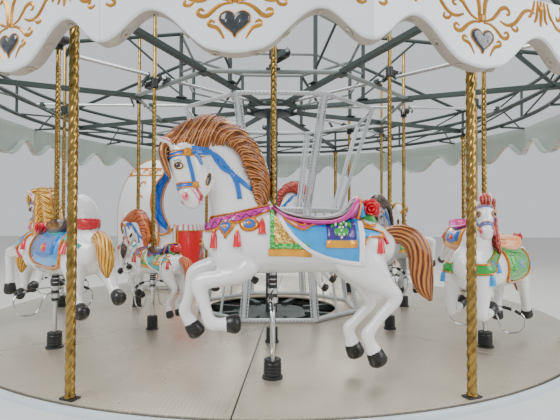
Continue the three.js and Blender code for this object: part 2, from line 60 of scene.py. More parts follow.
CRANK_THROW = 0.12
REST_LIFT = 0.06
POLE_R = 0.019
FASCIA_TOP_Z = 2.39
LOBE_Z = 2.015
ARCH_Z = 2.205
JOINT_Z = 2.067
OCTAGONS_R = (0.31, 1.4, 2.632)
LOBE_DEG = -93.35
HALF_PANEL = math.radians(PANEL_DEG / 2)
CAGE_X = 0.07
CHARIOT = Vector((-1.562, 1.404, 0.3803))
MM = 0.001
HORSE_FACES, SMALL_HORSE_FACES, PANEL_FACES = 0.56, 0.42, 0.62
STILL = Matrix.Identity(4)

arm_deg = [-90 + BAY_DEG * arm for arm in range(ARMS)]
bay_deg = [-90 + PANEL_DEG + BAY_DEG * bay for bay in range(ARMS)]


def polar(radius, degrees, z=0.0):
    turn = math.radians(degrees)
    return Vector((radius * math.cos(turn), radius * math.sin(turn), z))


def about_z(degrees):
    return Matrix.Rotation(math.radians(degrees), 4, "Z")


def placed(place, degrees):
    return Matrix.Translation(place) @ about_z(degrees)


def linked(name, data):
    """A new object of the scene for a mesh, curve, lamp or camera."""
    made = bpy.data.objects.new(name, data)
    bpy.context.scene.collection.objects.link(made)
    return made


def axes(x, y, z):
    """The turn that takes the three axes to the given directions."""
    return Matrix((x, y, z)).transposed().to_4x4()


# Camera

def camera():
    heading, pitch, roll = map(math.radians, (1.25, 1.19, 0.23))
    ahead = Vector((math.sin(heading) * math.cos(pitch), math.cos(heading) * math.cos(pitch),
        math.sin(pitch)))
    right = Vector((math.cos(heading), -math.sin(heading), 0))
    up = right.cross(ahead)
    across = right * math.cos(roll) + up * math.sin(roll)
    upward = up * math.cos(roll) - right * math.sin(roll)
    data = bpy.data.cameras.new("camera")
    data.sensor_width, data.lens, data.clip_start, data.clip_end = 36, 29.53, 0.05, 200
    eye = linked("camera", data)
    eye.matrix_world = Matrix.Translation((-0.019, -4.896, 1.301)) @ axes(across, upward, -ahead)
    bpy.context.scene.camera = eye


camera()


# Modelling helpers

def clear_selection():
    bpy.ops.object.select_all(action="DESELECT")


def only(piece):
    clear_selection()
    piece.select_set(True)
    bpy.context.view_layer.objects.active = piece
    return piece


def apply_place(piece):
    piece.data.transform(piece.matrix_world)
    piece.matrix_world = STILL
    return piece


def added(name):
    piece = bpy.context.object
    piece.name = name
    return apply_place(piece)


def modified(piece, kind, **settings):
    only(piece)
    modifier = piece.modifiers.new(kind.lower(), kind)
    for key, value in settings.items():
        setattr(modifier, key, value)
    bpy.ops.object.modifier_apply(modifier=modifier.name)
    return piece


def in_edit(piece, *steps):
    """Edit-mode steps on a whole piece, each an operator's name and its settings."""
    only(piece)
    bpy.ops.object.mode_set(mode="EDIT")
    bpy.ops.mesh.select_all(action="SELECT")
    for operator, settings in steps:
        operator(**settings)
    bpy.ops.object.mode_set(mode="OBJECT")
    return piece


def outward(piece):
    return in_edit(piece, (bpy.ops.mesh.remove_doubles, {"threshold": 1e-5}),
        (bpy.ops.mesh.normals_make_consistent, {"inside": False}))


def smooth(piece, degrees=35):
    only(piece)
    bpy.ops.object.shade_smooth_by_angle(angle=math.radians(degrees), keep_sharp_edges=False)
    return piece


def painted(piece, *materials):
    piece.data.materials.clear()
    for material in materials:
        piece.data.materials.append(material)
    return piece


def moved(piece, place):
    piece.data.transform(place)
    return piece


def softened(piece, width):
    """Edges sharper than fifty degrees, rounded."""
    return modified(piece, "BEVEL", width=width, segments=2, limit_method="ANGLE",
        angle_limit=math.radians(50))


def spun(piece, steps, angle=2 * math.pi):
    return in_edit(piece, (bpy.ops.mesh.spin, {"steps": steps, "angle": angle, "center": (0, 0, 0),
        "axis": (0, 0, 1)}))


def rounded(piece):
    for face in piece.data.polygons:
        face.use_smooth = True
    return piece


def facing(piece, middle, way=1):
    """Faces turned away from a point, or with -1 towards it."""
    for face in piece.data.polygons:
        if (face.center - Vector(middle)).dot(face.normal) * way < 0:
            face.flip()
    return piece


def joined(name, parts):
    clear_selection()
    for part in parts:
        part.select_set(True)
    bpy.context.view_layer.objects.active = parts[0]
    if len(parts) > 1:
        bpy.ops.object.join()
    parts[0].name = parts[0].data.name = name
    return parts[0]


def raw_piece(name, vertices, edges=(), faces=()):
    mesh = bpy.data.meshes.new(name)
    mesh.from_pydata([tuple(v) for v in vertices], list(edges), list(faces))
    return linked(name, mesh)


def removed(*pieces):
    for piece in pieces:
        bpy.data.objects.remove(piece)


def copies(source, name, places, keep=False):
    """One mesh of copies of a source, each with its place worked into its points."""
    build = bmesh.new()
    for place in places:
        before = len(build.verts)
        build.from_mesh(source.data)
        build.verts.ensure_lookup_table()
        bmesh.ops.transform(build, matrix=place, verts=build.verts[before:])
    piece = raw_piece(name, [])
    build.to_mesh(piece.data)
    build.free()
    for material in source.data.materials:
        piece.data.materials.append(material)
    if not keep:
        removed(source)
    return piece


def grid(rows, count, closed=True):
    """Faces between rows of points, where each row is a loop or else a line."""
    return [(j * count + i, j * count + (i + 1) % count, (j + 1) * count + (i + 1) % count,
        (j + 1) * count + i) for j in range(rows) for i in range(count if closed else count - 1)]


def shaped(name, points, faces, degrees, material):
    return painted(smooth(outward(raw_piece(name, points, faces=faces)), degrees), material)


def cylinder(radius, low, high, sides=16, bevel=0.0):
    """An upright round piece about the origin's axis, with its rims eased."""
    clear_selection()
    bpy.ops.mesh.primitive_cylinder_add(vertices=sides, radius=radius, depth=high - low,
        location=(0, 0, (high + low) / 2))
    piece = added("cylinder")
    return softened(piece, bevel) if bevel else piece


def box(size, middle, bevel=0.003):
    clear_selection()
    bpy.ops.mesh.primitive_cube_add(size=1, location=middle, scale=size)
    piece = added("box")
    if bevel:
        modified(piece, "BEVEL", width=bevel, segments=2)
    return piece


def turned(name, profile, steps=48, material=None):
    """A profile of (radius, height) spun about the upright axis."""
    points = [(radius, 0, z) for radius, z in profile]
    piece = spun(raw_piece(name, points, [(i, i + 1) for i in range(len(points) - 1)]), steps)
    smooth(outward(piece))
    return painted(piece, material) if material else piece


def ring(radius, tube, z, segments=96, sides=10, turn=0.0):
    clear_selection()
    bpy.ops.mesh.primitive_torus_add(major_radius=radius, minor_radius=tube, major_segments=segments,
        minor_segments=sides, location=(0, 0, z), rotation=(0, 0, math.radians(turn)))
    return smooth(added("ring"), 35 if segments > 20 else 25)


def between(start, end, radius):
    """The place of a unit bar laid from one point to another."""
    along = Vector(end) - Vector(start)
    turn = along.to_track_quat("Z", "Y").to_matrix().to_4x4()
    size = Matrix.Diagonal((radius, radius, along.length, 1))
    return Matrix.Translation((Vector(start) + Vector(end)) / 2) @ turn @ size


def pipes(name, lines, sides=12):
    """Round bars, each a start, an end and a radius."""
    unit = smooth(cylinder(1, -0.5, 0.5, sides), 50)
    return copies(unit, name, [between(*line) for line in lines])


def beams(name, lines):
    """Square-section bars, each a start, an end, a half width and a half depth."""
    places = []
    for start, end, half_width, half_depth in lines:
        along = (end - start).normalized()
        side = Vector((0, 0, 1)).cross(along).normalized()
        turn = axes(side * half_width, along.cross(side) * half_depth, along * (end - start).length)
        places.append(Matrix.Translation((start + end) / 2) @ turn)
    return modified(copies(box((2, 2, 1), (0, 0, 0), 0), name, places), "BEVEL", width=0.003,
        segments=1)


def wire(points, radius, sides=8, closed=False, taper=None):
    """A round wire through points, with its thickness eased along it where asked."""
    curve = bpy.data.curves.new("wire", "CURVE")
    curve.dimensions, curve.use_fill_caps = "3D", True
    curve.bevel_depth, curve.bevel_resolution = radius, max(0, sides // 4 - 1)
    curve.resolution_u = 6
    spline = curve.splines.new("BEZIER")
    spline.bezier_points.add(len(points) - 1)
    for i, point in enumerate(points):
        knot = spline.bezier_points[i]
        knot.co = point
        knot.handle_left_type = knot.handle_right_type = "AUTO"
        knot.radius = taper[i] if taper else 1
    spline.use_cyclic_u = closed
    only(linked("wire", curve))
    bpy.ops.object.convert(target="MESH")
    return smooth(bpy.context.object, 60)


def twisted(radius, low, high, pitch=0.23, step=0.013):
    """A rope-twisted bar: four lobes carried round by a screw."""
    clear_selection()
    bpy.ops.mesh.primitive_circle_add(vertices=16, radius=radius, fill_type="NOTHING",
        location=(0, 0, low))
    piece = added("twisted")
    for i, point in enumerate(piece.data.vertices):
        shrink = (1.0, 0.94, 0.8, 0.94)[i % 4]
        point.co.x *= shrink
        point.co.y *= shrink
    length = high - low
    steps = max(8, int(length / step))
    modified(piece, "SCREW", axis="Z", angle=2 * math.pi * length / pitch, screw_offset=length,
        steps=steps, render_steps=steps, use_normal_calculate=True)
    in_edit(piece, (bpy.ops.mesh.select_all, {"action": "DESELECT"}),
        (bpy.ops.mesh.select_non_manifold, {}), (bpy.ops.mesh.fill_holes, {"sides": 0}))
    return smooth(outward(piece), 50)


def dressed(piece, name, body, slot, *replaced):
    """A finished piece: named and riding on its body; its slot is not used."""
    apply_place(piece)
    piece.name = piece.data.name = name
    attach(piece, body)
    if replaced:
        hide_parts(*replaced)
    return piece


# Materials

def tint(code):
    """A colour from its six-digit code, made linear."""
    parts = [int(code[i:i + 2], 16) / 255 for i in (0, 2, 4)]
    return (*[p / 12.92 if p <= 0.04045 else ((p + 0.055) / 1.055) ** 2.4 for p in parts], 1)


def group(name, inputs, outputs):
    """A group's tree, the outputs of its entry and its last node."""
    tree = bpy.data.node_groups.new(name, "ShaderNodeTree")
    for label, value in inputs.items():
        kind = COLOR if isinstance(value, tuple) else FLOAT
        tree.interface.new_socket(label, in_out="INPUT", socket_type=kind).default_value = value
    for label in outputs:
        tree.interface.new_socket(label, in_out="OUTPUT",
            socket_type=COLOR if label == "Color" else FLOAT)
    return tree, tree.nodes.new("NodeGroupInput").outputs, tree.nodes.new("NodeGroupOutput")


def feeds(tree, target, values):
    """Values, or other nodes' outputs, into the inputs of a node."""
    for socket, value in values.items():
        if isinstance(value, (int, float, tuple)):
            target.inputs[socket].default_value = value
        else:
            tree.links.new(value, target.inputs[socket])
    return target


def node(tree, kind, values=None, **settings):
    """The outputs of a new node with its settings and what its inputs get."""
    made = tree.nodes.new(kind)
    for key, value in settings.items():
        setattr(made, key, value)
    return feeds(tree, made, values or {}).outputs


def math_node(tree, operation, first, second=0.5, clamp=False):
    return node(tree, "ShaderNodeMath", {0: first, 1: second}, operation=operation, use_clamp=clamp)[0]


def mixed(tree, factor, first, second):
    return node(tree, "ShaderNodeMix", {0: factor, 6: first, 7: second}, data_type="RGBA")[2]


FLOAT, COLOR = "NodeSocketFloat", "NodeSocketColor"


def weathering_group():
    """Broad stains and fine specks over a finish: its colour, roughness and height."""
    tree, entry, leave = group("weathering", {"Color": (1, 1, 1, 1), "Stain": (0.2, 0.2, 0.2, 1),
        "Scale": 6, "Amount": 0.3, "Roughness": 0.4, "Spread": 0.15}, ("Color", "Roughness", "Height"))
    place = node(tree, "ShaderNodeTexCoord")["Object"]
    broad = node(tree, "ShaderNodeTexNoise", {"Vector": place, "Scale": entry["Scale"],
        "Detail": 5})["Fac"]
    fine = node(tree, "ShaderNodeTexNoise", {"Vector": place, "Scale": 160})["Fac"]
    stain = math_node(tree, "MULTIPLY", math_node(tree, "SUBTRACT", broad, 0.42, True),
        math_node(tree, "MULTIPLY", entry["Amount"], 4), True)
    shift = math_node(tree, "MULTIPLY", entry["Spread"], math_node(tree, "SUBTRACT", broad, 0.5))
    feeds(tree, leave, {"Color": mixed(tree, stain, entry["Color"], entry["Stain"]),
        "Roughness": math_node(tree, "ADD", entry["Roughness"], shift, True), "Height": fine})
    return tree


def tread_group():
    """Raised bars of tread plate, turned in every second square."""
    tree, entry, leave = group("tread_bars", {"Scale": 18}, ("Mask", "Height"))
    flat = node(tree, "ShaderNodeVectorMath", {0: node(tree, "ShaderNodeTexCoord")["UV"],
        "Scale": entry["Scale"]}, operation="SCALE")[0]
    check = node(tree, "ShaderNodeTexChecker", {"Vector": flat, "Scale": 1})["Fac"]
    split = node(tree, "ShaderNodeSeparateXYZ", {0: flat})

    def wave(axis, count):
        turns = math_node(tree, "MULTIPLY", split[axis], math.pi * count)
        return math_node(tree, "ABSOLUTE", math_node(tree, "SINE", turns))

    picked = mixed(tree, check, math_node(tree, "MULTIPLY", wave(0, 1), wave(1, 3)),
        math_node(tree, "MULTIPLY", wave(1, 1), wave(0, 3)))
    bars = math_node(tree, "MULTIPLY", math_node(tree, "SUBTRACT", picked, 0.45), 3, True)
    feeds(tree, leave, {"Mask": bars, "Height": bars})
    return tree


def strand_group():
    """Carved locks that run along a hank of hair, by its own map. The colour is dark in the grooves
    between locks as painted shade and bright on each lock's crest as a painted highlight, with a random
    tone from lock to lock.
    """
    tree, entry, leave = group("strands", {"Low": (0.1, 0.02, 0, 1), "Middle": (0.4, 0.1, 0.02, 1),
        "High": (0.9, 0.5, 0.15, 1), "Count": 18}, ("Color", "Height"))
    place = node(tree, "ShaderNodeTexCoord")
    across = node(tree, "ShaderNodeSeparateXYZ", {0: place["UV"]})[0]
    wander = node(tree, "ShaderNodeTexNoise", {"Vector": place["Object"], "Scale": 9})["Fac"]
    around = math_node(tree, "ADD", across, math_node(tree, "MULTIPLY", wander, 0.12))
    phase = math_node(tree, "MULTIPLY", around, entry["Count"])
    lock = math_node(tree, "ABSOLUTE",
        math_node(tree, "SINE", math_node(tree, "MULTIPLY", phase, math.pi)))
    sliver = node(tree, "ShaderNodeTexNoise", {"W": math_node(tree, "MULTIPLY", phase, 2.3)},
        noise_dimensions="1D")["Fac"]
    shade = math_node(tree, "MULTIPLY", lock, math_node(tree, "ADD", sliver, 0.35))
    # Painted shade towards the grooves, and below a painted highlight on the crests of the locks
    dark = mixed(tree, math_node(tree, "MULTIPLY", shade, 2, True), entry["Low"], entry["Middle"])
    light = math_node(tree, "MULTIPLY", math_node(tree, "SUBTRACT", shade, 0.55, True), 3, True)
    feeds(tree, leave, {"Color": mixed(tree, light, dark, entry["High"]), "Height": lock})
    return tree


def glitter_group():
    """Specks of gold leaf in a painted band."""
    tree, entry, leave = group("glitter", {"Color": (1, 1, 1, 1), "Speck": (1, 0.8, 0.2, 1),
        "Scale": 120, "Share": 0.5}, ("Color", "Height"))
    cells = node(tree, "ShaderNodeTexVoronoi", {"Vector": node(tree, "ShaderNodeTexCoord")["Object"],
        "Scale": entry["Scale"]})
    chance = node(tree, "ShaderNodeSeparateColor", {0: cells["Color"]})[0]
    mask = math_node(tree, "LESS_THAN", chance, entry["Share"])
    feeds(tree, leave, {"Color": mixed(tree, mask, entry["Color"], entry["Speck"]),
        "Height": cells["Distance"]})
    return tree


WEATHERING = weathering_group()
TREAD = tread_group()
STRANDS = strand_group()
GLITTER = glitter_group()


def shader(name):
    material = bpy.data.materials.new(name)
    material.use_nodes = True
    tree = material.node_tree
    surface = next(n for n in tree.nodes if n.type == "BSDF_PRINCIPLED")
    return material, tree, surface


def placed_group(tree, source, **values):
    return node(tree, "ShaderNodeGroup", {key.title(): value for key, value in values.items()},
        node_tree=source)


def raised(tree, surface, height, strength, distance=0.002):
    bump = node(tree, "ShaderNodeBump", {"Strength": strength, "Distance": distance, "Height": height})
    tree.links.new(bump["Normal"], surface.inputs["Normal"])


def finish(name, color, stain="4a4a48", scale=5, amount=0.12, roughness=0.35, spread=0.12, metal=0.0,
        coat=0.0, bump=0.03):
    """A paint or metal with stains and a slightly uneven gloss."""
    material, tree, surface = shader(name)
    worn = placed_group(tree, WEATHERING, color=tint(color), stain=tint(stain), scale=scale,
        amount=amount, roughness=roughness, spread=spread)
    feeds(tree, surface, {"Metallic": metal, "Coat Weight": coat, "Coat Roughness": 0.06,
        "Base Color": worn["Color"], "Roughness": worn["Roughness"]})
    raised(tree, surface, worn["Height"], bump)
    return material


def tread_plate():
    """Aluminium tread plate, dulled and damp."""
    material, tree, surface = shader("tread_plate")
    worn = placed_group(tree, WEATHERING, color=tint("c6bda8"), stain=tint("948b79"), scale=1.6,
        amount=0.35, roughness=0.3, spread=0.3)
    bars = placed_group(tree, TREAD, scale=38)
    feeds(tree, surface, {"Metallic": 0.6, "Roughness": worn["Roughness"],
        "Base Color": mixed(tree, bars["Mask"], worn["Color"], tint("d2cab8"))})
    raised(tree, surface, bars["Height"], 0.25, 0.001)
    return material


def hair(name, low, middle, high):
    """Glossy enamel over carved locks, with painted shade in their grooves and a painted highlight on
    their crests.
    """
    material, tree, surface = shader(name)
    locks = placed_group(tree, STRANDS, low=tint(low), middle=tint(middle), high=tint(high), count=5)
    feeds(tree, surface, {"Roughness": 0.24, "Coat Weight": 0.6, "Metallic": 0.25,
        "Base Color": locks["Color"]})
    raised(tree, surface, locks["Height"], 0.8, 0.006)
    return material


def glitter(name, color, speck, scale, share, metal=0.2):
    """A painted band sprinkled with leaf."""
    material, tree, surface = shader(name)
    specks = placed_group(tree, GLITTER, color=tint(color), speck=tint(speck), scale=scale, share=share)
    feeds(tree, surface, {"Roughness": 0.3, "Metallic": metal, "Coat Weight": 0.4,
        "Base Color": specks["Color"]})
    raised(tree, surface, specks["Height"], 0.25, 0.001)
    return material


FRAME_STEEL = finish("frame_steel", "3f4a47", "272d2b", 4, 0.3, 0.5, 0.2, 0.35)
PALE_PIPE = finish("pale_pipe", "8f9795", "59605e", 4, 0.3, 0.42, 0.2, 0.5)
MAST_PAINT = finish("mast_paint", "38424c", "20262c", 4, 0.25, 0.45, 0.2, 0.2)
CHROME = finish("chrome", "c9cccd", "77797a", 20, 0.12, 0.14, 0.1, 1.0, 0, 0.01)
BLACK_RUBBER = finish("black_rubber", "15171a", "3b3b39", 14, 0.16, 0.42, 0.2, 0.0, 0.1, 0.15)
BRASS = finish("twisted_brass", "a8894a", "3a2a10", 22, 0.5, 0.22, 0.2, 1.0, 0.1, 0.06)
CAGE_WHITE = finish("cage_white", "cdd3d7", "9aa0a4", 6, 0.2, 0.3, 0.15, 0.1, 0.3)
SKIRT_WHITE = finish("skirt_white", "e4ebef", "aab7c2", 1.5, 0.18, 0.2, 0.15, 0.0, 0.6)
SKIRT_RIM = finish("skirt_rim", "cfdbe4", "8d9aa6", 3, 0.2, 0.25, 0.15, 0.0, 0.5)
# A dark grey: painted shade down in the deck's seams and in the gap by the skirt, and the colour of the
# cage's dots
SHADE_AND_DOT_DARK = finish("shade_and_dot_dark", "26282a", "4a4a46", 12, 0.2, 0.6, 0.1)
SOCKET = finish("lamp_socket", "b9b2a4", "6a655b", 30, 0.2, 0.4, 0.1)
TREAD_PLATE = tread_plate()


# The plain floor and the soft light

def studio():
    clear_selection()
    bpy.ops.mesh.primitive_plane_add(size=60, location=(0, 0, -0.002))
    floor = bpy.context.object
    floor.name = "floor"
    painted(floor, finish("pale_floor", "cfcdc8", "c2c0bb", 0.4, 0.1, 0.7, 0.05, 0, 0, 0))
    world = bpy.context.scene.world or bpy.data.worlds.new("sky")
    bpy.context.scene.world = world
    world.use_nodes = True
    feeds(None, world.node_tree.nodes["Background"], {"Color": tint("e9edf0"), "Strength": 0.86})
    for name, place, aim, size, power in (("key", (-5, -7, 7), (0, 0, 1), 5, 640),
            ("fill", (6, -5, 4), (0, 0, 1), 5, 300), ("top", (0, 1, 8), (0, 0, 0), 7, 480),
            ("back", (1, 8, 5), (0, 0, 1), 5, 260)):
        data = bpy.data.lights.new(name, "AREA")
        data.size, data.energy = size, power
        lamp = linked(name, data)
        lamp.location = place
        lamp.rotation_euler = (Vector(aim) - Vector(place)).to_track_quat("-Z", "Y").to_euler()


studio()


# Deck, skirt, floor cups and columns

def deck():
    """Eight sheets of tread plate with a thin gap between them, over a dark backing that paints the
    shade down in the gaps.
    """
    gap, low = math.radians(0.09), DECK_TOP - 0.02
    plate = raw_piece("sheet", [(DECK_BORE_R, 0, low), (DECK_R, 0, low), (DECK_R, 0, DECK_TOP),
        (DECK_BORE_R, 0, DECK_TOP)], faces=[(0, 1, 2, 3)])
    spun(moved(plate, about_z(math.degrees(gap))), 30, math.radians(BAY_DEG) - 2 * gap)
    softened(outward(plate), 0.002)
    flat = plate.data.uv_layers.new(name="UVMap")
    for corner in plate.data.loops:
        flat.data[corner.index].uv = plate.data.vertices[corner.vertex_index].co.xy
    smooth(painted(plate, TREAD_PLATE), 30)
    for quarter in range(4):
        start = DECK_SEAM_DEG + 90 * (quarter + 1)
        sheets = copies(plate, "sheets", [about_z(start), about_z(start + BAY_DEG)],
            keep=True)
        dressed(sheets, f"deck_sheets_{quarter + 1}", "turntable", "tread_plate",
            f"deck_quarter_{quarter + 1}")
    removed(plate)
    # A dark ring inside the deck's thickness, seen only through the gaps between the sheets: painted
    # shade in the seams
    inner, outer = DECK_BORE_R + 0.01, DECK_R - 0.004
    foot, top = DECK_TOP - 0.019, DECK_TOP - 0.006
    under = turned("gap_shade_backing", [(inner, foot), (outer, foot), (outer, top), (inner, top),
        (inner, foot)], 128, SHADE_AND_DOT_DARK)
    screws = smooth(painted(cylinder(0.006, DECK_TOP, DECK_TOP + 0.0015, 8, 0.0005), CHROME))
    places = [Matrix.Translation(polar(radius, DECK_SEAM_DEG + BAY_DEG * sheet +
        side * 0.9 / radius ** 0.2))
        for sheet in range(8) for side in (0.9, 44.1) for radius in (0.75, 1.1, 1.5, 1.9, 2.3, 2.68)]
    dressed(joined("deck_seams", [under, copies(screws, "screws", places)]), "deck_seams", "turntable",
        "tread_plate")


def skirt():
    """The white skirt with its rolled rim, and painted shade on the faces of the gap beside the deck.
    """
    shell = turned("skirt", [(2.736, 0.359), (2.76, 0.075), (2.76, 0.06), (2.774, 0.06), (2.777, 0.066),
        (2.783, 0.2), (2.787, 0.325), (2.79, 0.334), (2.79, 0.366), (2.7865, 0.372), (2.768, 0.372),
        (2.766, 0.369), (2.766, 0.3597), (2.736, 0.359)], 192)
    painted(shell, SKIRT_WHITE, SKIRT_RIM, SHADE_AND_DOT_DARK)
    # Faces of the rolled rim take the rim's white; the faces down in the gap by the deck take the dark
    # grey, which paints the gap's shade
    for face in shell.data.polygons:
        if face.center.z > 0.33:
            face.material_index = 2 if face.center.xy.length < 2.7665 else 1
    dressed(shell, "skirt_shell", "turntable", "skirt_paint", "skirt")


def floor_cups(rides):
    """Ribbed rubber cups where the poles pass through the deck."""
    profile = [(0.021, 0), (0.060, 0), (0.060, 0.012), (0.053, 0.015)]
    for rib in range(4):
        low = 0.019 + 0.0185 * rib
        profile += [(0.048, low), (0.0515, low + 0.003), (0.0515, low + 0.012), (0.048, low + 0.0155)]
    profile += [(0.047, 0.095), (0.0505, 0.099), (0.0505, 0.107), (0.045, 0.112), (0.026, 0.112),
        (0.021, 0.107), (0.021, 0)]
    cup = turned("cup", profile, 32, BLACK_RUBBER)
    places = []
    for ride in rides:
        wide = 1 if ride["ring"] == "outer" else 0.86
        places.append(Matrix.Translation(polar(ride["radius"], ride["deg"], DECK_TOP)) @
            Matrix.Diagonal((wide, wide, 1, 1)))
    dressed(copies(cup, "floor_cups", places), "floor_cups", "turntable", "tread_plate")


def columns():
    rope = painted(twisted(COLUMN_R, DECK_TOP + 0.02, 2.372), BRASS)
    plate = painted(box((0.062, 0.088, 0.008), (0, 0, DECK_TOP + 0.005), 0.002), BLACK_RUBBER)
    foot = painted(cylinder(0.03, DECK_TOP + 0.008, DECK_TOP + 0.022, 18, 0.003), BRASS)
    head = painted(turned("head", [(0, 2.36), (0.034, 2.36), (0.038, 2.37), (0.038, 2.388), (0, 2.388)],
        20), BRASS)
    whole = joined("column", [rope, plate, foot, head])
    for bay, deg in enumerate(bay_deg):
        one = copies(whole, "column", [placed(polar(TRUSS_R, deg), deg)], keep=True)
        dressed(one, f"twisted_column_{bay + 1}", "turntable", "column_brass", f"column_{bay + 1}")
    removed(whole)


RIDES = []
for arm in range(ARMS):
    if arm != CHARIOT_ARM:
        phase = 1 if arm in LOW_OUTER_ARMS else -1
        RIDES.append({"arm": arm + 1, "ring": "outer", "radius": OUTER_RING_R, "phase": phase,
            "deg": arm_deg[arm]})
        RIDES.append({"arm": arm + 1, "ring": "inner", "radius": INNER_RING_R, "phase": -phase,
            "deg": arm_deg[arm]})

deck()
skirt()
floor_cups(RIDES)
columns()


# Top frame, roof and cranks

def ring_truss():
    """Three rolled rails on struts, with diagonals and the fascia's brackets."""
    rails = (2.41, 2.585, 2.723)
    radius = 2.703
    hoops = [ring(radius, 0.02, z, 96, 10) for z in rails]
    lines = []
    for i in range(2 * ARMS):
        deg = bay_deg[0] + PANEL_DEG * i
        foot, middle, head = [polar(radius, deg, z) for z in rails]
        lines.append((foot, head, 0.0145 if i % 2 else 0.017))
        lines.append((middle, polar(radius, deg + PANEL_DEG, rails[0]), 0.010))
        lines.append((head, polar(radius, deg + PANEL_DEG / 2, rails[1]), 0.009))
        joint = LOBE_DEG + PANEL_DEG / 2 + PANEL_DEG * i
        lines.append((polar(radius - 0.02, joint, 2.384), polar(2.985, joint, 2.384), 0.012))
        lines.append((polar(radius, joint, rails[1]), polar(2.93, joint, 2.386), 0.008))
    bars = pipes("truss_bars", lines, 10)
    plate = box((0.07, 0.05, 0.012), (0, 0, 0), 0.002)
    plates = copies(plate, "plates", [placed(polar(radius, deg, 2.398), deg) for deg in bay_deg])
    whole = joined("truss", [painted(p, FRAME_STEEL) for p in hoops + [bars, plates]])
    dressed(whole, "rolled_ring_truss", "turntable", "dark_steel", "ring_truss")


def bearing_block(width=0.07):
    """A split bearing with its cap and two bolts, its bore at the origin along x."""
    foot = box((0.04, width * 1.6, 0.018), (0, 0, -0.026), 0.003)
    body = box((0.036, width, 0.034), (0, 0, -0.006), 0.006)
    cap = cylinder(0.026, -0.018, 0.018, 16, 0.003)
    moved(cap, Matrix.Rotation(math.pi / 2, 4, "Y"))
    bolts = [moved(cylinder(0.006, -0.016, -0.008, 6), Matrix.Translation((0, side * width * 0.64, 0)))
        for side in (-1, 1)]
    return joined("bearing", [painted(p, FRAME_STEEL) for p in [foot, body, cap] + bolts])


def top_frame():
    """Radial beams with their gussets, octagons of pipe and the cranks' bearings."""
    flat = math.cos(math.radians(PANEL_DEG))
    lines = [(polar(0.31, deg, BEAM_Z), polar(2.694, deg, BEAM_Z), 0.02, 0.022) for deg in bay_deg]
    arms = painted(beams("arms", lines), FRAME_STEEL)
    rings = [painted(ring(radius, tube, BEAM_Z, ARMS, 12, PANEL_DEG), material)
             for radius, tube, material in ((1.4, 0.019, PALE_PIPE), (2.632, 0.018, FRAME_STEEL),
                                            (0.31, 0.02, FRAME_STEEL))]
    posts = pipes("posts", [(polar(radius * flat, deg, BEAM_Z),
        polar(radius * flat, deg, SHAFT_Z - 0.03), 0.014) for radius in OCTAGONS_R for deg in arm_deg])
    blocks = copies(bearing_block(), "blocks", [placed(polar(radius * flat, deg, SHAFT_Z), deg)
        for radius in OCTAGONS_R for deg in arm_deg])
    gusset = box((0.11, 0.09, 0.006), (0, 0, 0), 0.002)
    plates = copies(gusset, "gussets", [placed(polar(radius, deg, BEAM_Z - 0.025), deg)
        for radius in (1.4, 2.62) for deg in bay_deg])
    whole = joined("top", [arms] + rings + [painted(posts, FRAME_STEEL), blocks,
        painted(plates, FRAME_STEEL)])
    dressed(whole, "top_frame_pipes", "turntable", "dark_steel", "top_frame")


def roof_frame():
    """Posts, crown ring, rafters and their braces."""
    radius, crown = 0.976, 3.13
    lines = []
    for deg in bay_deg:
        foot, head = polar(radius, deg, 2.492), polar(radius, deg, crown)
        end = polar(2.672, deg, 2.725)
        brace = (polar(radius, deg, 2.62), head.lerp(end, 0.3), 0.011)
        lines += [(foot, head, 0.019), (head, end, 0.018), brace]
    bars = pipes("roof_bars", lines)
    hoops = [ring(radius, 0.02, crown, ARMS, 12, PANEL_DEG), ring(radius, 0.012, 2.75, ARMS, 10,
        PANEL_DEG)]
    plate = box((0.1, 0.1, 0.008), (0, 0, 0), 0.002)
    feet = copies(plate, "feet", [placed(polar(radius, deg, 2.4955), deg) for deg in bay_deg])
    whole = joined("roof", [painted(p, FRAME_STEEL) for p in [bars, feet]] +
        [painted(p, PALE_PIPE) for p in hoops])
    dressed(whole, "roof_frame_pipes", "turntable", "dark_steel", "roof_frame")


def pin_shift(deg, phase):
    """From a crank's shaft to its pin, at rest."""
    across = math.sqrt(CRANK_THROW ** 2 - REST_LIFT ** 2)
    return polar(across * phase, deg - 90) + Vector((0, 0, -REST_LIFT * phase))


def crankshafts():
    """Round shafts with plate webs and pins, and the gear ring of their inner ends."""
    lines, webs = [], []
    reach = 0.058
    for arm, deg in enumerate(arm_deg):
        stops = [0.25]
        for ride in sorted((r for r in RIDES if r["arm"] == arm + 1), key=lambda r: r["radius"]):
            shift = pin_shift(deg, ride["phase"])
            near = polar(ride["radius"] - reach, deg, SHAFT_Z)
            far = polar(ride["radius"] + reach, deg, SHAFT_Z)
            lines.append((near + shift - polar(0.008, deg), far + shift + polar(0.008, deg), 0.0135))
            for end in (near, far):
                webs.append((end, end + shift, deg))
            stops += [ride["radius"] - reach, ride["radius"] + reach]
        stops.append(2.52)
        for first, last in zip(stops[::2], stops[1::2]):
            lines.append((polar(first, deg, SHAFT_Z), polar(last, deg, SHAFT_Z), 0.0145))
    bars = painted(pipes("shafts", lines, 14), CHROME)
    plate = box((0.014, 0.036, 0.156), (0, 0, 0), 0.004)
    places = []
    for foot, head, deg in webs:
        up = (head - foot).normalized()
        out = polar(1, deg)
        turn = axes(out, up.cross(out), up)
        places.append(Matrix.Translation((foot + head) / 2) @ turn)
    plates = painted(copies(plate, "webs", places), FRAME_STEEL)
    gear = painted(turned("gear", [(0.226, 2.492), (0.26, 2.492), (0.26, 2.53), (0.226, 2.53),
        (0.226, 2.492)], 48), FRAME_STEEL)
    tooth = box((0.01, 0.006, 0.03), (0.262, 0, SHAFT_Z), 0.001)
    teeth = painted(copies(tooth, "teeth", [about_z(7.5 * i) for i in range(48)]), FRAME_STEEL)
    dressed(joined("cranks", [bars, plates, gear, teeth]), "crank_lines", "turntable", "bright_steel",
        "crankshafts")


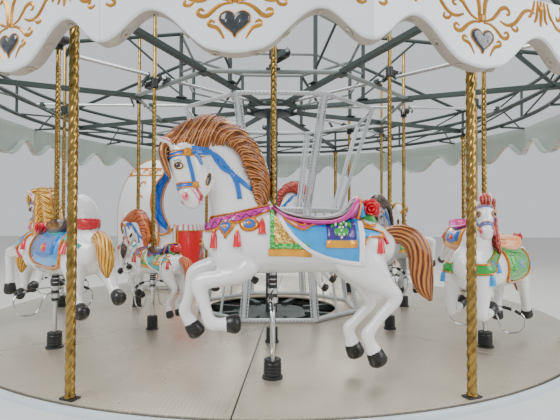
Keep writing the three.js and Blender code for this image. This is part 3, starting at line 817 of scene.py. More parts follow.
def centre_mast():
    shaft = turned("mast", [(0, 0.3), (0.06, 0.3), (0.06, 1.2), (0.064, 1.205), (0.064, 1.23),
        (0.06, 1.235), (0.06, 2.2), (0.066, 2.205), (0.066, 2.235), (0.06, 2.24), (0.06, 2.385),
        (0.075, 2.4), (0.185, 2.418), (0.19, 2.422), (0.19, 2.447), (0.186, 2.45), (0, 2.45)], 48,
        MAST_PAINT)
    tooth = box((0.012, 0.009, 0.022), (0.193, 0, 2.434), 0.001)
    teeth = painted(copies(tooth, "teeth", [about_z(7.5 * i) for i in range(48)]), MAST_PAINT)
    dressed(joined("mast", [shaft, teeth]), "mast_and_crown_wheel", "base", "mast_paint", "centre_mast")


# Cage

def cage():
    """The white hourglass of tubes, with rows of small dots on its legs and rings."""
    foot_z, waist_z, head_z = DECK_TOP + 0.0203, 1.398, 2.401
    base_r, waist_r, head_r = 0.84, 0.668, 1.0
    tube = 0.0195
    parts, dots = [], []

    def row(first, last, out, gap, *shifts):
        count = int((last - first).length / gap)
        for k in range(1, count):
            dots.append((sum(shifts, first.lerp(last, k / count)), out))

    for radius, z in ((base_r, foot_z), (waist_r, waist_z), (head_r, head_z)):
        parts.append(ring(radius, tube, z, ARMS, 12, PANEL_DEG))
        for deg in bay_deg:
            out = polar(1, deg + PANEL_DEG)
            row(polar(radius, deg, z), polar(radius, deg + BAY_DEG, z), out, 0.032,
                out * tube * 0.92)
    lines = []
    for deg in bay_deg:
        points = [
            polar(base_r, deg, foot_z),
            polar(waist_r, deg, waist_z),
            polar(head_r, deg, head_z)]
        across, out = polar(0.034, deg + 90), polar(1, deg)
        for first, last in zip(points, points[1:]):
            lines.append((first, last, tube))
            for side in (-1, 1):
                lines.append((first + across * side, last + across * side, 0.0075))
                row(first, last, out, 0.03, across * side, out * 0.0072)
    lines += [(polar(waist_r, deg + PANEL_DEG, waist_z) * 0.924 + Vector((0, 0, waist_z * 0.076)),
        polar(base_r, deg + PANEL_DEG, foot_z) * 0.924 + Vector((0, 0, foot_z * 0.076)), 0.012)
        for deg in bay_deg[::2]]
    parts.append(pipes("legs", lines))
    clear_selection()
    bpy.ops.mesh.primitive_uv_sphere_add(segments=5, ring_count=3, radius=0.0054)
    dot = painted(smooth(added("dot"), 80), SHADE_AND_DOT_DARK)
    places = [Matrix.Translation(place) @ out.to_track_quat("Z", "Y").to_matrix().to_4x4() @
        Matrix.Diagonal((1, 1, 0.6, 1)) for place, out in dots]
    rows = copies(dot, "dots", places)
    whole = joined("cage", [painted(p, CAGE_WHITE) for p in parts] + [rows])
    dressed(moved(whole, Matrix.Translation((CAGE_X, 0, 0))), "cage_tubes", "turntable", "white_tube",
        "cage")


# Fascia

GOLD_RELIEF = finish("gold_relief", "c58a2a", "6e4410", 22, 0.4, 0.3, 0.2, 0.55, 0.4, 0.1)
FASCIA_WHITE = finish("fascia_white", "eaf0f4", "c3ccd4", 1.6, 0.2, 0.16, 0.1, 0, 0.7, 0.01)
FASCIA_BACK = finish("fascia_back", "a9b5ad", "7f8c84", 2, 0.3, 0.55, 0.2, 0, 0.1, 0.1)
SOFFIT = finish("soffit_paint", "b7b1a6", "8c867b", 3, 0.25, 0.45, 0.2, 0, 0.1, 0.05)
DARK_JEWEL = finish("dark_jewel", "23282f", "565d66", 30, 0.3, 0.12, 0.1, 0.2, 1.0, 0.05)


def fascia_edge(share):
    """Lower edge of the fascia at a share of half a panel, from its lobe to its joint."""
    flat, peak = 0.14, 0.63
    if share < flat:
        return LOBE_Z + 0.012 * (share / flat) ** 2
    if share < peak:
        t = (share - flat) / (peak - flat)
        low = LOBE_Z + 0.012
        return low + (ARCH_Z - low) * (1 - math.cos(math.pi * t)) / 2
    t = (share - peak) / (1 - peak)
    return ARCH_Z + (JOINT_Z - ARCH_Z) * (1 - math.cos(math.pi * t)) / 2


def fascia_board():
    """One flat panel: its face, the rounded turn into the soffit and the back."""
    half = math.tan(HALF_PANEL)
    section = [(2.952, FASCIA_TOP_Z), (2.952, None, 0.014), (2.9505, None, 0.006),
        (2.946, None, 0.0012), (2.94, None, 0.0), (2.876, None, 0.0), (2.874, None, 0.002),
        (2.874, None, 0.010), (2.93, None, 0.012), (2.94, None, 0.022), (2.94, FASCIA_TOP_Z)]
    steps, count = 56, len(section)
    points = []
    for i in range(steps + 1):
        share = 2 * i / steps - 1
        low = fascia_edge(abs(share))
        points += [(share * (point[0] * half - 0.0006), -point[0], point[1] or low + point[2])
            for point in section]
    ends = [tuple(range(count)), tuple(steps * count + k for k in reversed(range(count)))]
    piece = outward(raw_piece("board", points, faces=grid(steps, count) + ends))
    painted(piece, FASCIA_WHITE, SOFFIT, FASCIA_BACK)
    for face in piece.data.polygons:
        y = -face.center.y
        if face.normal.y > 0.5 or face.normal.z > 0.6 and y < 2.9395 and face.center.z < 2.38:
            face.material_index = 2
        elif y < 2.9395 and face.normal.z < 0.3:
            face.material_index = 1
    return smooth(piece, 40)


def scroll(points, radius):
    """A raised gold scroll on the panel's face, from (across, height) in millimetres."""
    count = len(points)
    sizes = [0.45 + 0.75 * math.sin(math.pi * (i + 0.6) / (count + 0.2)) for i in range(count)]
    shape = wire([(u * MM, 0, z * MM) for u, z in points], radius, 4, False, sizes)
    return painted(moved(shape, Matrix.Diagonal((1, 0.55, 1, 1))), GOLD_RELIEF)


def plaque(outline, middle, rise, material, rim=0.0):
    """A domed ornament from a flat outline of (across, height), its face towards -Y."""
    count = len(outline)
    rings = ((1.0, 0.0), (0.96, 0.55), (0.82, 0.9), (0.4, 1))
    points = [((middle[0] + u * scale) * MM, -rise * lift, (middle[1] + z * scale) * MM)
        for scale, lift in rings for u, z in outline]
    ends = [tuple(3 * count + k for k in range(count)), tuple(reversed(range(count)))]
    piece = shaped("plaque", points, grid(3, count) + ends, 50, material)
    if not rim:
        return piece
    edge = wire([((middle[0] + u) * MM, -rise * 0.25, (middle[1] + z) * MM) for u, z in outline[::2]],
        rim, 4, True)
    return joined("plaque", [piece, painted(edge, GOLD_RELIEF)])


def heart(width, height, count=24):
    points = []
    for i in range(count):
        t = 2 * math.pi * i / count
        u = 16 * math.sin(t) ** 3
        z = 13 * math.cos(t) - 5 * math.cos(2 * t) - 2 * math.cos(3 * t) - math.cos(4 * t)
        points.append((u / 34 * width, (z + 2.4) / 29 * height))
    return points


def oval(width, height, count=16):
    return [(width / 2 * math.cos(2 * math.pi * i / count),
        height / 2 * math.sin(2 * math.pi * i / count)) for i in range(count)]


def fascia_relief():
    """The gold scrollwork of a panel, the same on both halves, round a dark jewel."""
    half = [
        ([(-86, 2142), (-104, 2150), (-112, 2136), (-96, 2126), (-78, 2120), (-60, 2098),
          (-46, 2072)], 0.0085),
        ([(-132, 2192), (-150, 2200), (-160, 2186), (-146, 2171), (-122, 2172), (-100, 2190),
          (-76, 2210), (-44, 2224), (-10, 2226)], 0.0095),
        ([(-16, 2222), (-15, 2262), (-17, 2305), (-30, 2345), (-56, 2368), (-70, 2352)], 0.012),
        ([(-26, 2236), (-62, 2252), (-92, 2282), (-122, 2312), (-158, 2314), (-166, 2292),
          (-148, 2284)], 0.010),
        ([(-108, 2250), (-150, 2236), (-190, 2246), (-224, 2276), (-254, 2312), (-292, 2330),
          (-330, 2322)], 0.010),
        ([(-176, 2236), (-196, 2218), (-218, 2222), (-214, 2240)], 0.008),
        ([(-330, 2384), (-322, 2345), (-306, 2310), (-290, 2296)], 0.009),
        ([(-352, 2386), (-350, 2345), (-342, 2300), (-330, 2276)], 0.010),
        ([(-372, 2388), (-374, 2340), (-372, 2290), (-370, 2262)], 0.011),
        ([(-392, 2386), (-398, 2345), (-402, 2300), (-414, 2276)], 0.010),
        ([(-414, 2384), (-424, 2345), (-438, 2310), (-454, 2296)], 0.009),
        ([(-430, 2336), (-456, 2292), (-492, 2262), (-532, 2262), (-558, 2290), (-562, 2330),
          (-544, 2352), (-524, 2340)], 0.0105),
        ([(-500, 2380), (-508, 2346), (-502, 2318), (-484, 2310), (-476, 2328)], 0.009),
        ([(-560, 2230), (-540, 2222), (-522, 2236), (-536, 2250)], 0.008),
    ]
    parts = []
    for points, radius in half:
        parts.append(scroll(points, radius))
        parts.append(scroll([(-u, z) for u, z in points], radius))
    parts.append(plaque(heart(142, 112), (0, 2136), 0.010, DARK_JEWEL, 0.0035))
    parts.append(plaque(oval(30, 40), (0, 2246), 0.008, GOLD_RELIEF))
    for side in (-1, 1):
        parts.append(plaque(oval(34, 34, 12), (side * 372, 2352), 0.009, GOLD_RELIEF))
        parts.append(plaque(oval(26, 34, 12), (side * 30, 2142), 0.0125, DARK_JEWEL, 0.002))
    relief = joined("relief", parts)
    return moved(relief, Matrix.Translation((0, -2.9515, 0)))


def soffit_sockets():
    """Round lamp holders let into the soffit, square to its slope."""
    cup = turned("socket", [(0, -0.001), (0.0205, -0.001), (0.0205, -0.006), (0.018, -0.0075),
        (0.0165, -0.004), (0, -0.0035)], 14, SOCKET)
    bars = [box((wide, deep, 0.002), (0, 0, -0.0048), 0)
        for wide, deep in ((0.024, 0.004), (0.004, 0.024))]
    socket = joined("socket", [cup] + [painted(b, CHROME) for b in bars])
    row_r = 2.907
    half = row_r * math.tan(HALF_PANEL)
    places = []
    for share in (-0.85, -0.63, -0.38, -0.16, 0.16, 0.38, 0.63, 0.85):
        rise = fascia_edge(abs(share) + 0.01) - fascia_edge(abs(share) - 0.01)
        slope = math.atan2(rise * (1 if share > 0 else -1), 0.02 * half)
        places.append(Matrix.Translation((share * half, -row_r, fascia_edge(abs(share)))) @
            Matrix.Rotation(-slope, 4, "Y"))
    return copies(socket, "sockets", places)


def fascia():
    panel = joined("panel", [fascia_board(), fascia_relief(), soffit_sockets()])
    modified(panel, "DECIMATE", ratio=PANEL_FACES)
    for pair in range(ARMS):
        first = LOBE_DEG + BAY_DEG * pair + 90
        whole = copies(panel, "fascia", [about_z(first), about_z(first + PANEL_DEG)], keep=True)
        dressed(whole, f"scalloped_fascia_{pair + 1}", "turntable", "fascia_panel",
            f"fascia_pair_{pair + 1}")
    removed(panel)


ring_truss()
top_frame()
roof_frame()
crankshafts()
centre_mast()
cage()
fascia()
for hidden in ("base_frame", "deck_frame"):
    painted(nodes[hidden], FRAME_STEEL)


# Enamels of the horses and the chariot

WHITE_ENAMEL = finish("white_enamel", "f1f1f2", "b9bcc6", 3, 0.22, 0.13, 0.1, 0, 1.0, 0.01)
GREY_ENAMEL = finish("grey_enamel", "a7abb0", "6d7278", 3, 0.25, 0.18, 0.1, 0, 0.9, 0.01)
HOOF_BLACK = finish("hoof_black", "0b0b0c", "2c2c2b", 18, 0.25, 0.36, 0.15, 0, 0.25, 0.08)
SKY_BLUE = finish("sky_blue", "079be8", "0a6cb8", 14, 0.3, 0.2, 0.1, 0, 0.8, 0.02)
RIBBON_BLUE = finish("ribbon_blue", "0068c4", "004488", 22, 0.3, 0.22, 0.1, 0, 0.8, 0.05)
MAGENTA = finish("magenta", "cc1a92", "86105e", 20, 0.3, 0.22, 0.1, 0, 0.8, 0.03)
CRIMSON = finish("crimson", "de0622", "8c0316", 16, 0.28, 0.2, 0.1, 0, 0.8, 0.03)
PURPLE = finish("purple", "40208c", "220f50", 20, 0.3, 0.22, 0.1, 0, 0.8, 0.03)
TURQUOISE = finish("turquoise", "10b4ac", "067474", 20, 0.3, 0.22, 0.1, 0, 0.8, 0.03)
LEAF_GREEN = finish("leaf_green", "17a035", "0c6620", 24, 0.35, 0.25, 0.1, 0, 0.7, 0.05)
PEACH = finish("peach", "f4a870", "cc7440", 12, 0.3, 0.22, 0.1, 0, 0.8, 0.03)
SLEEVE_BROWN = finish("sleeve_brown", "241812", "120c09", 30, 0.3, 0.4, 0.2, 0, 0.1, 0.1)
SADDLE_BROWN = finish("saddle_brown", "3a1710", "200a06", 12, 0.3, 0.3, 0.1, 0, 0.6, 0.05)
TRIM_GOLD = finish("trim_gold", "e08a14", "8a4c08", 40, 0.3, 0.26, 0.15, 0.5, 0.5, 0.08)
YELLOW_GOLD = finish("yellow_gold", "f2a81c", "b8690c", 24, 0.3, 0.25, 0.1, 0.35, 0.5, 0.06)
LIP_RED = finish("lip_red", "c41a34", "80101e", 30, 0.3, 0.3, 0.1, 0, 0.5, 0.02)
NOSTRIL_PINK = finish("nostril_pink", "e87c8c", "b04c60", 30, 0.3, 0.3, 0.1, 0, 0.5, 0.02)
EYE_AND_SHADE_BLACK = finish("eye_and_shade_black", "0c0a08", "2a1c12", 60, 0.3, 0.06, 0.05, 0, 1.0, 0.0)
EYE_WHITE_AND_GLINT = finish("eye_white_and_glint", "f5f3ee", "d8d2c8", 60, 0.2, 0.1, 0.05, 0, 1.0, 0.0)
EYE_BROWN = finish("eye_brown", "5b3210", "2a1608", 80, 0.3, 0.06, 0.05, 0, 1.0, 0.0)
BERRY_WHITE = finish("berry_white", "f4f0ea", "cfc6bc", 60, 0.2, 0.2, 0.05, 0, 0.6, 0.0)
GOLD_SPECKLE = glitter("gold_speckle", "b77a1e", "f7d877", 150, 0.5, 0.5)
GREEN_SPECKLE = glitter("green_speckle", "22963d", "6fd06a", 130, 0.4)
COPPER_HAIR = hair("copper_hair", "461a06", "8a4210", "d8903c")
GOLD_HAIR = hair("gold_hair", "8a4c08", "d0901c", "f4c450")
RED_HAIR = hair("red_hair", "500808", "a81c18", "dc5a40")
ORANGE_HAIR = hair("orange_hair", "6a2004", "c8541a", "f08a40")
DARK_HAIR = hair("dark_hair", "120c0a", "38241e", "7a5a48")


# Shaping the horses. Their tables are in millimetres: x ahead, z above the deck at
# mid-lift, half width, half depth and how far the middle leans outward.

def eased(rows, steps):
    """Rows of numbers joined by a smooth curve through them all."""
    made = []
    for i in range(len(rows) - 1):
        near = [rows[max(i - 1, 0)], rows[i], rows[i + 1], rows[min(i + 2, len(rows) - 1)]]
        for k in range(steps):
            t = k / steps
            made.append([0.5 * (2 * b + (c - a) * t + (2 * a - 5 * b + 4 * c - d) * t * t +
                                (3 * b - a - 3 * c + d) * t ** 3) for a, b, c, d in zip(*near)])
    made.append(list(rows[-1]))
    return made


def limb(rings, side=0.0, sides=14, steps=4, ends=True):
    """A rounded form drawn through a list of rings, with a map that runs along it."""
    rows = eased([(list(r) + [0])[:5] for r in rings], steps)
    middles = [Vector((r[0], side + r[4], r[1])) for r in rows]
    across = Vector((0, 1, 0))
    stations = []
    for i, row in enumerate(rows):
        along = (middles[min(i + 1, len(rows) - 1)] - middles[max(i - 1, 0)]).normalized()
        stations.append((middles[i], along.cross(across).normalized(), row[2], row[3], along))
    if ends:
        for at, way in ((0, -1), (-1, 1)):
            middle, up, wide, deep, along = stations[at]
            extra = [(middle + along * way * min(wide, deep) * move, up, wide * scale, deep * scale,
                along) for move, scale in ((0.3, 0.86), (0.5, 0.62), (0.6, 0.25))]
            stations = extra[::-1] + stations if at == 0 else stations + extra
    turns = [2 * math.pi * k / sides for k in range(sides)]
    points = [(middle + across * wide * math.cos(turn) + up * deep * math.sin(turn)) * MM
        for middle, up, wide, deep, _ in stations for turn in turns]
    count = len(stations)
    flat = [(u / sides, v / count) for i in range(count - 1) for k in range(sides)
        for u, v in ((k, i), (k + 1, i), (k + 1, i + 1), (k, i + 1))]
    flat += [(0.5, 0)] * sides + [(0.5, 1)] * sides
    caps = [tuple(range(sides))[::-1], tuple((count - 1) * sides + k for k in range(sides))]
    piece = raw_piece("limb", points, faces=grid(count - 1, sides) + caps)
    layer = piece.data.uv_layers.new(name="UVMap")
    for corner, place in zip(layer.data, flat):
        corner.uv = place
    build = bmesh.new()
    build.from_mesh(piece.data)
    if build.calc_volume(signed=True) < 0:
        bmesh.ops.reverse_faces(build, faces=build.faces)
    build.to_mesh(piece.data)
    build.free()
    return rounded(piece)


def ball(middle, radii, segments=16):
    clear_selection()
    bpy.ops.mesh.primitive_uv_sphere_add(segments=segments, ring_count=segments // 2, radius=1,
        location=Vector(middle) * MM, scale=Vector(radii) * MM)
    return rounded(added("ball"))


def muscles(middle, radii):
    """A ball on each side of the upright middle plane."""
    x, y, z = middle
    return [ball((x, y, z), radii), ball((x, -y, z), radii)]


def fused(parts, voxel, faces):
    """Overlapping forms made one smooth skin."""
    body = joined("skin", parts)
    modified(body, "REMESH", mode="VOXEL", voxel_size=voxel, use_smooth_shade=True)
    modified(body, "SMOOTH", factor=0.5, iterations=6)
    modified(body, "DECIMATE", ratio=min(1, faces / (2 * len(body.data.polygons))))
    return rounded(body)


def on_skin(body, x, z, side, lift, place=STILL):
    """The point and the normal of the skin beside a point of the upright middle plane."""
    turn = place.to_3x3()
    start = place @ Vector((x * MM, side * 0.6, z * MM))
    hit, point, normal, _ = body.ray_cast(start, turn @ Vector((0, -side, 0)))
    if not hit:
        start = place @ Vector((x * MM, side * 0.07, z * MM))
        _, point, normal, _ = body.closest_point_on_mesh(start)
    return point + normal * lift, normal


def strap(body, path, half, rise, material, steps=4, taper=None, side=1, place=STILL):
    """A raised band laid along a path on the skin, its edges let in."""
    rows = eased(path, steps)
    last, points = len(rows) - 1, []
    spread = ((-1, -0.002), (-0.8, rise), (0, rise * 1.2), (0.8, rise), (1, -0.002), (0, -0.005))
    for i, (x, z) in enumerate(rows):
        ahead, behind = rows[min(i + 1, last)], rows[max(i - 1, 0)]
        across = Vector((behind[1] - ahead[1], ahead[0] - behind[0])).normalized()
        wide = half * (taper(i / last) if taper else 1)
        points += [on_skin(body, x + across.x * wide * share, z + across.y * wide * share, side, lift,
            place)[0] for share, lift in spread]
    count = len(spread)
    ends = [tuple(range(count)), tuple(last * count + k for k in range(count))]
    return shaped("strap", points, grid(last, count) + ends, 50, material)


def cloth(body, top, bottom, rise, material, rows=6, steps=5, side=1):
    """A moulded panel on the skin between an upper and a lower edge."""
    upper, lower = eased(top, steps), eased(bottom, steps)
    points = [on_skin(body, a[0] + (b[0] - a[0]) * t, a[1] + (b[1] - a[1]) * t, side, rise)[0]
        for t in [row / rows for row in range(rows + 1)] for a, b in zip(upper, lower)]
    piece = raw_piece("cloth", points, faces=grid(rows, len(upper), False))
    for face in piece.data.polygons:
        if face.normal.y * side < 0:
            face.flip()
    modified(piece, "SOLIDIFY", thickness=rise + 0.004, offset=-1)
    return painted(smooth(outward(piece), 50), material)


def badge(body, outline, x, z, rise, material, rim=0.0, side=1, place=STILL):
    """A domed ornament set on the skin, square to it."""
    made = plaque(outline, (0, 0), rise, material, rim)
    point, normal = on_skin(body, x, z, side, -0.001, place)
    up = place.to_3x3() @ Vector((0, 0, 1))
    right = normal.cross(up).normalized() * -1
    up = normal.cross(right)
    turn = axes(right, -normal, up)
    if turn.to_3x3().determinant() < 0:
        turn = axes(-right, -normal, up)
    return moved(made, Matrix.Translation(point) @ turn)


def hanging(body, x, z, drop, side, lift, low_lift):
    """The place of what hangs from one point of the skin towards another below it."""
    top, _ = on_skin(body, x, z, side, lift)
    foot, _ = on_skin(body, x, z - drop, side, low_lift)
    lean = (foot - top).normalized()
    turn = Vector((0, 0, -1)).rotation_difference(lean).to_matrix().to_4x4()
    return Matrix.Translation(top) @ turn


def tassel(body, x, z, length, side=1):
    """A knotted tassel that hangs on the skin."""
    knob = turned("knob", [(0, 0.012), (0.008, 0.008), (0.01, 0.001), (0.007, -0.005), (0, -0.006)], 8,
        TRIM_GOLD)
    size = length * MM
    brush = turned("brush", [(0, -0.003), (0.012, -0.008), (0.018, -size * 0.3), (0.02, -size * 0.6),
        (0.024, -size), (0, -size)], 12, CRIMSON)
    return moved(joined("tassel", [knob, brush]), hanging(body, x, z, length, side, 0.006, 0.007))


def fringe(body, path, drop, count, side=1):
    """A row of short threads under an edge."""
    thread = box((0.0075, 0.005, drop * MM), (0, 0, -drop * MM / 2), 0.0015)
    painted(thread, YELLOW_GOLD)
    rows = eased(path, 12)
    spots = [rows[int((len(rows) - 1) * (i + 0.5) / count)] for i in range(count)]
    return copies(thread, "fringe", [hanging(body, x, z, drop, side, 0.003, 0.003) for x, z in spots])


def beside(body, side):
    """The makers of bands, studs, cloths, tassels and fringes for one side of a horse."""
    return [partial(maker, body, side=side) for maker in (strap, badge, cloth, tassel, fringe)]


def rose(middle, radius, material=CRIMSON, deep=1.0):
    """A full flower of cupped petals round a bud, on both sides of its heart."""
    petal = painted(ball((0, 0, 0), (560, 130, 480), 10), material)
    heart_place = Matrix.Translation(Vector(middle) * MM) @ Matrix.Diagonal((radius * MM,
        deep * radius * MM, radius * MM, 1))
    places = [heart_place @ Matrix.Rotation(2 * math.pi * (k + layer / 3) / count, 4, "Y") @
              Matrix.Translation((0, side * rise, out)) @
              Matrix.Rotation(math.radians(-tilt * side), 4, "X") @ Matrix.Scale(size, 4)
              for layer, (count, tilt, out, rise, size) in enumerate(
                  ((3, 60, 0.14, 0.66, 0.5), (5, 46, 0.34, 0.52, 0.66), (7, 26, 0.56, 0.34, 0.84)))
              for side in (1, -1) for k in range(count)]
    core = painted(ball(middle, [radius * k for k in (0.72, 0.5 * deep, 0.72)], 14), material)
    return joined("rose", [copies(petal, "petals", places), core])


HEAD = [[20, 30, 44, 40], [20, 0, 58, 62], [20, -56, 78, 94], [10, -130, 82, 104], [-5, -190, 72, 96],
    [-17, -250, 60, 84], [-18, -300, 54, 74], [-19, -340, 56, 66], [-25, -372, 42, 44]]


def head_skin(place):
    parts = [
        limb(HEAD, 0, 16),
        ball((-66, 0, -232), (66, 66, 100)),
        ball((-38, 0, -366), (30, 38, 18))]
    for side in (-1, 1):
        parts.append(ball((66, side * 56, -138), (26, 22, 20), 12))
        parts.append(ball((18, side * 38, -338), (28, 22, 28), 12))
        parts.append(limb([[92, -44, 22, 26], [128, -26, 25, 23], [164, -10, 17, 15], [192, -2, 4, 4]],
            side * 42, 10))
    return [moved(part, place) for part in parts]


def head_details(body, place, lock):
    """Eyes with a painted glint, nostrils, mouth, ears' insides, the bridle and its rosettes, and a
    dark patch of painted shade behind the jaw.
    """
    parts = []

    def add(rings, side, sides, steps, ends, material):
        parts.append(painted(moved(limb(rings, side, sides, steps, ends), place), material))

    for band in ([[16, -84, 84, 105], [12, -112, 87, 109]], [[-14, -262, 64, 87], [-16, -286, 61, 83]]):
        add(band, 0, 24, 1, False, RIBBON_BLUE)
        for x, z, wide, deep in (band[0], band[-1]):
            add([[x, z + 3, wide + 1.5, deep + 1.5], [x, z - 3, wide + 1.5, deep + 1.5]], 0, 24, 1,
                False, TRIM_GOLD)
    for side in (-1, 1):
        band, stud = [partial(maker, body, side=side, place=place) for maker in (strap, badge)]
        parts += [
            band([(16, -98), (4, -150), (-12, -205), (-24, -268)], 12, 0.006, RIBBON_BLUE),
            stud(oval(46, 46), 12, -98, 0.018, YELLOW_GOLD, 0.004),
            stud(oval(22, 22, 10), 12, -98, 0.026, TRIM_GOLD),
            stud(oval(34, 34, 12), -30, -272, 0.014, YELLOW_GOLD, 0.003),
            stud(oval(50, 36), 58, -170, 0.007, EYE_AND_SHADE_BLACK, 0.004),
            stud(oval(40, 26), 57, -171, 0.012, EYE_WHITE_AND_GLINT),
            stud(oval(34, 27), 60, -169, 0.016, EYE_BROWN),
            stud(oval(23, 22), 60, -168, 0.020, EYE_AND_SHADE_BLACK),
            # A painted highlight: a small white glint on the pupil
            stud(oval(5, 5, 8), 64, -161, 0.023, EYE_WHITE_AND_GLINT),
            band([(86, -150), (66, -144), (42, -152), (34, -164)], 4.5, 0.006, WHITE_ENAMEL),
            band([(80, -146), (64, -140), (44, -147)], 2, 0.009, SADDLE_BROWN),
            stud([(u - 0.2 * z, z) for u, z in oval(40, 52, 18)], 24, -338, 0.005, NOSTRIL_PINK),
            stud(oval(17, 30, 12), 17, -340, 0.009, LIP_RED),
            band([(-30, -284), (-50, -312), (-68, -342), (-74, -372)], 9, 0.003, LIP_RED, 4,
                lambda t: 0.35 + 0.9 * math.sin(3 * t)),
            band([(-12, -300), (-30, -322), (-48, -350), (-56, -374)], 4, 0.004, NOSTRIL_PINK),
            # Painted shade: a dark almond in the gap behind the jaw, where the throat meets the neck
            stud([(u + 0.26 * z, z) for u, z in oval(30, 72)], -104, -240, 0.004, EYE_AND_SHADE_BLACK, 0.003)]
        add([[100, -36, 9, 8], [130, -20, 12, 8], [166, -6, 6, 4]], side * 56, 8, 4, True, NOSTRIL_PINK)
    for shift, size in ((0, 1.0), (16, 0.8), (-16, 0.8)):
        add([[66, 30, 34 * size, 26, shift * 0.6],
            [116 + 8 * lock, 20 - 28 * lock, 36 * size, 27, shift * 1.2],
            [122 + 24 * lock, -74 * lock, 32 * size, 25, shift * 1.7],
            [118 + 14 * lock, -150 * lock, 24 * size, 18, shift * 1.8],
            [104, -218 * lock, 7, 7, shift * 1.6]], 0, 10, 4, True, COPPER_HAIR)
    return parts


def mane(inner, outer, half, lean, locks=26):
    """Carved locks that flow along the neck from its sides up to the crest."""
    rows_in, rows_out = eased(inner, 12), eased(outer, 12)
    last, sweep = len(rows_in) - 1, 0.2

    def spot(t, share):
        at = int(min(last, max(0, t) * last))
        return Vector(rows_in[at]).lerp(Vector(rows_out[at]), share)

    crest = []
    for i in range(0, last + 1, 8):
        t = i / last
        middle = spot(t, 0.5)
        size = (spot(t, 1) - spot(t, 0)).length
        crest.append([middle.x, middle.y, half * 0.95, max(16, size * 0.46), lean * (1 - t)])
    parts = [limb(crest, 0, 12, 2)]
    chance = random.Random(7)
    for i in range(locks):
        for side in (-1, 1):
            t = (i + chance.uniform(0.0, 0.5)) / locks * (1 + sweep) - sweep
            reach = sweep * chance.uniform(0.75, 1.25)
            wave = chance.uniform(-0.05, 0.05)
            rows = []
            for share, wide, deep, out in ((0.0, 5, 8, 1.02), (0.22, 12, 14, 1.08), (0.48, 15, 17, 1.0),
                    (0.74, 15, 16, 0.76), (0.95, 12, 13, 0.42), (1.04, 4, 5, 0.22)):
                along = max(0.015 * share, min(1.0, t + reach * share ** 1.3))
                point = spot(along, share + wave * math.sin(math.pi * share))
                rows.append([point.x, point.y, wide, deep, lean * (1 - along) + side * half * out])
            parts.append(limb(rows, 0, 8, 2))
    return [painted(part, COPPER_HAIR) for part in parts]


def tail(path, widths):
    """A hank of long locks."""
    parts = [limb([[x, z, w * 0.6, w * 0.85] for (x, z), w in zip(path, widths)], 0, 12, 3)]
    for k in range(9):
        turn = 2 * math.pi * k / 9
        rows = []
        for i, ((x, z), w) in enumerate(zip(path, widths)):
            ahead, behind = path[min(i + 1, len(path) - 1)], path[max(i - 1, 0)]
            along = (Vector(ahead) - Vector(behind)).normalized()
            out = Vector((-along.y, along.x)) * math.sin(turn + 0.35 * i) * w * 0.62
            rows.append([x + out.x, z + out.y, w * 0.3, w * 0.34, math.cos(turn + 0.35 * i) * w * 0.5])
        parts.append(limb(rows, 0, 8, 3))
    return [painted(part, COPPER_HAIR) for part in parts]


def hoof(rings, side):
    return painted(limb(rings, side, 14, 2), HOOF_BLACK)


# The four forms of horse

STREAMING_TAIL = [(-606, 690), (-650, 724), (-706, 734), (-752, 700), (-778, 640), (-790, 575),
    (-800, 510)]


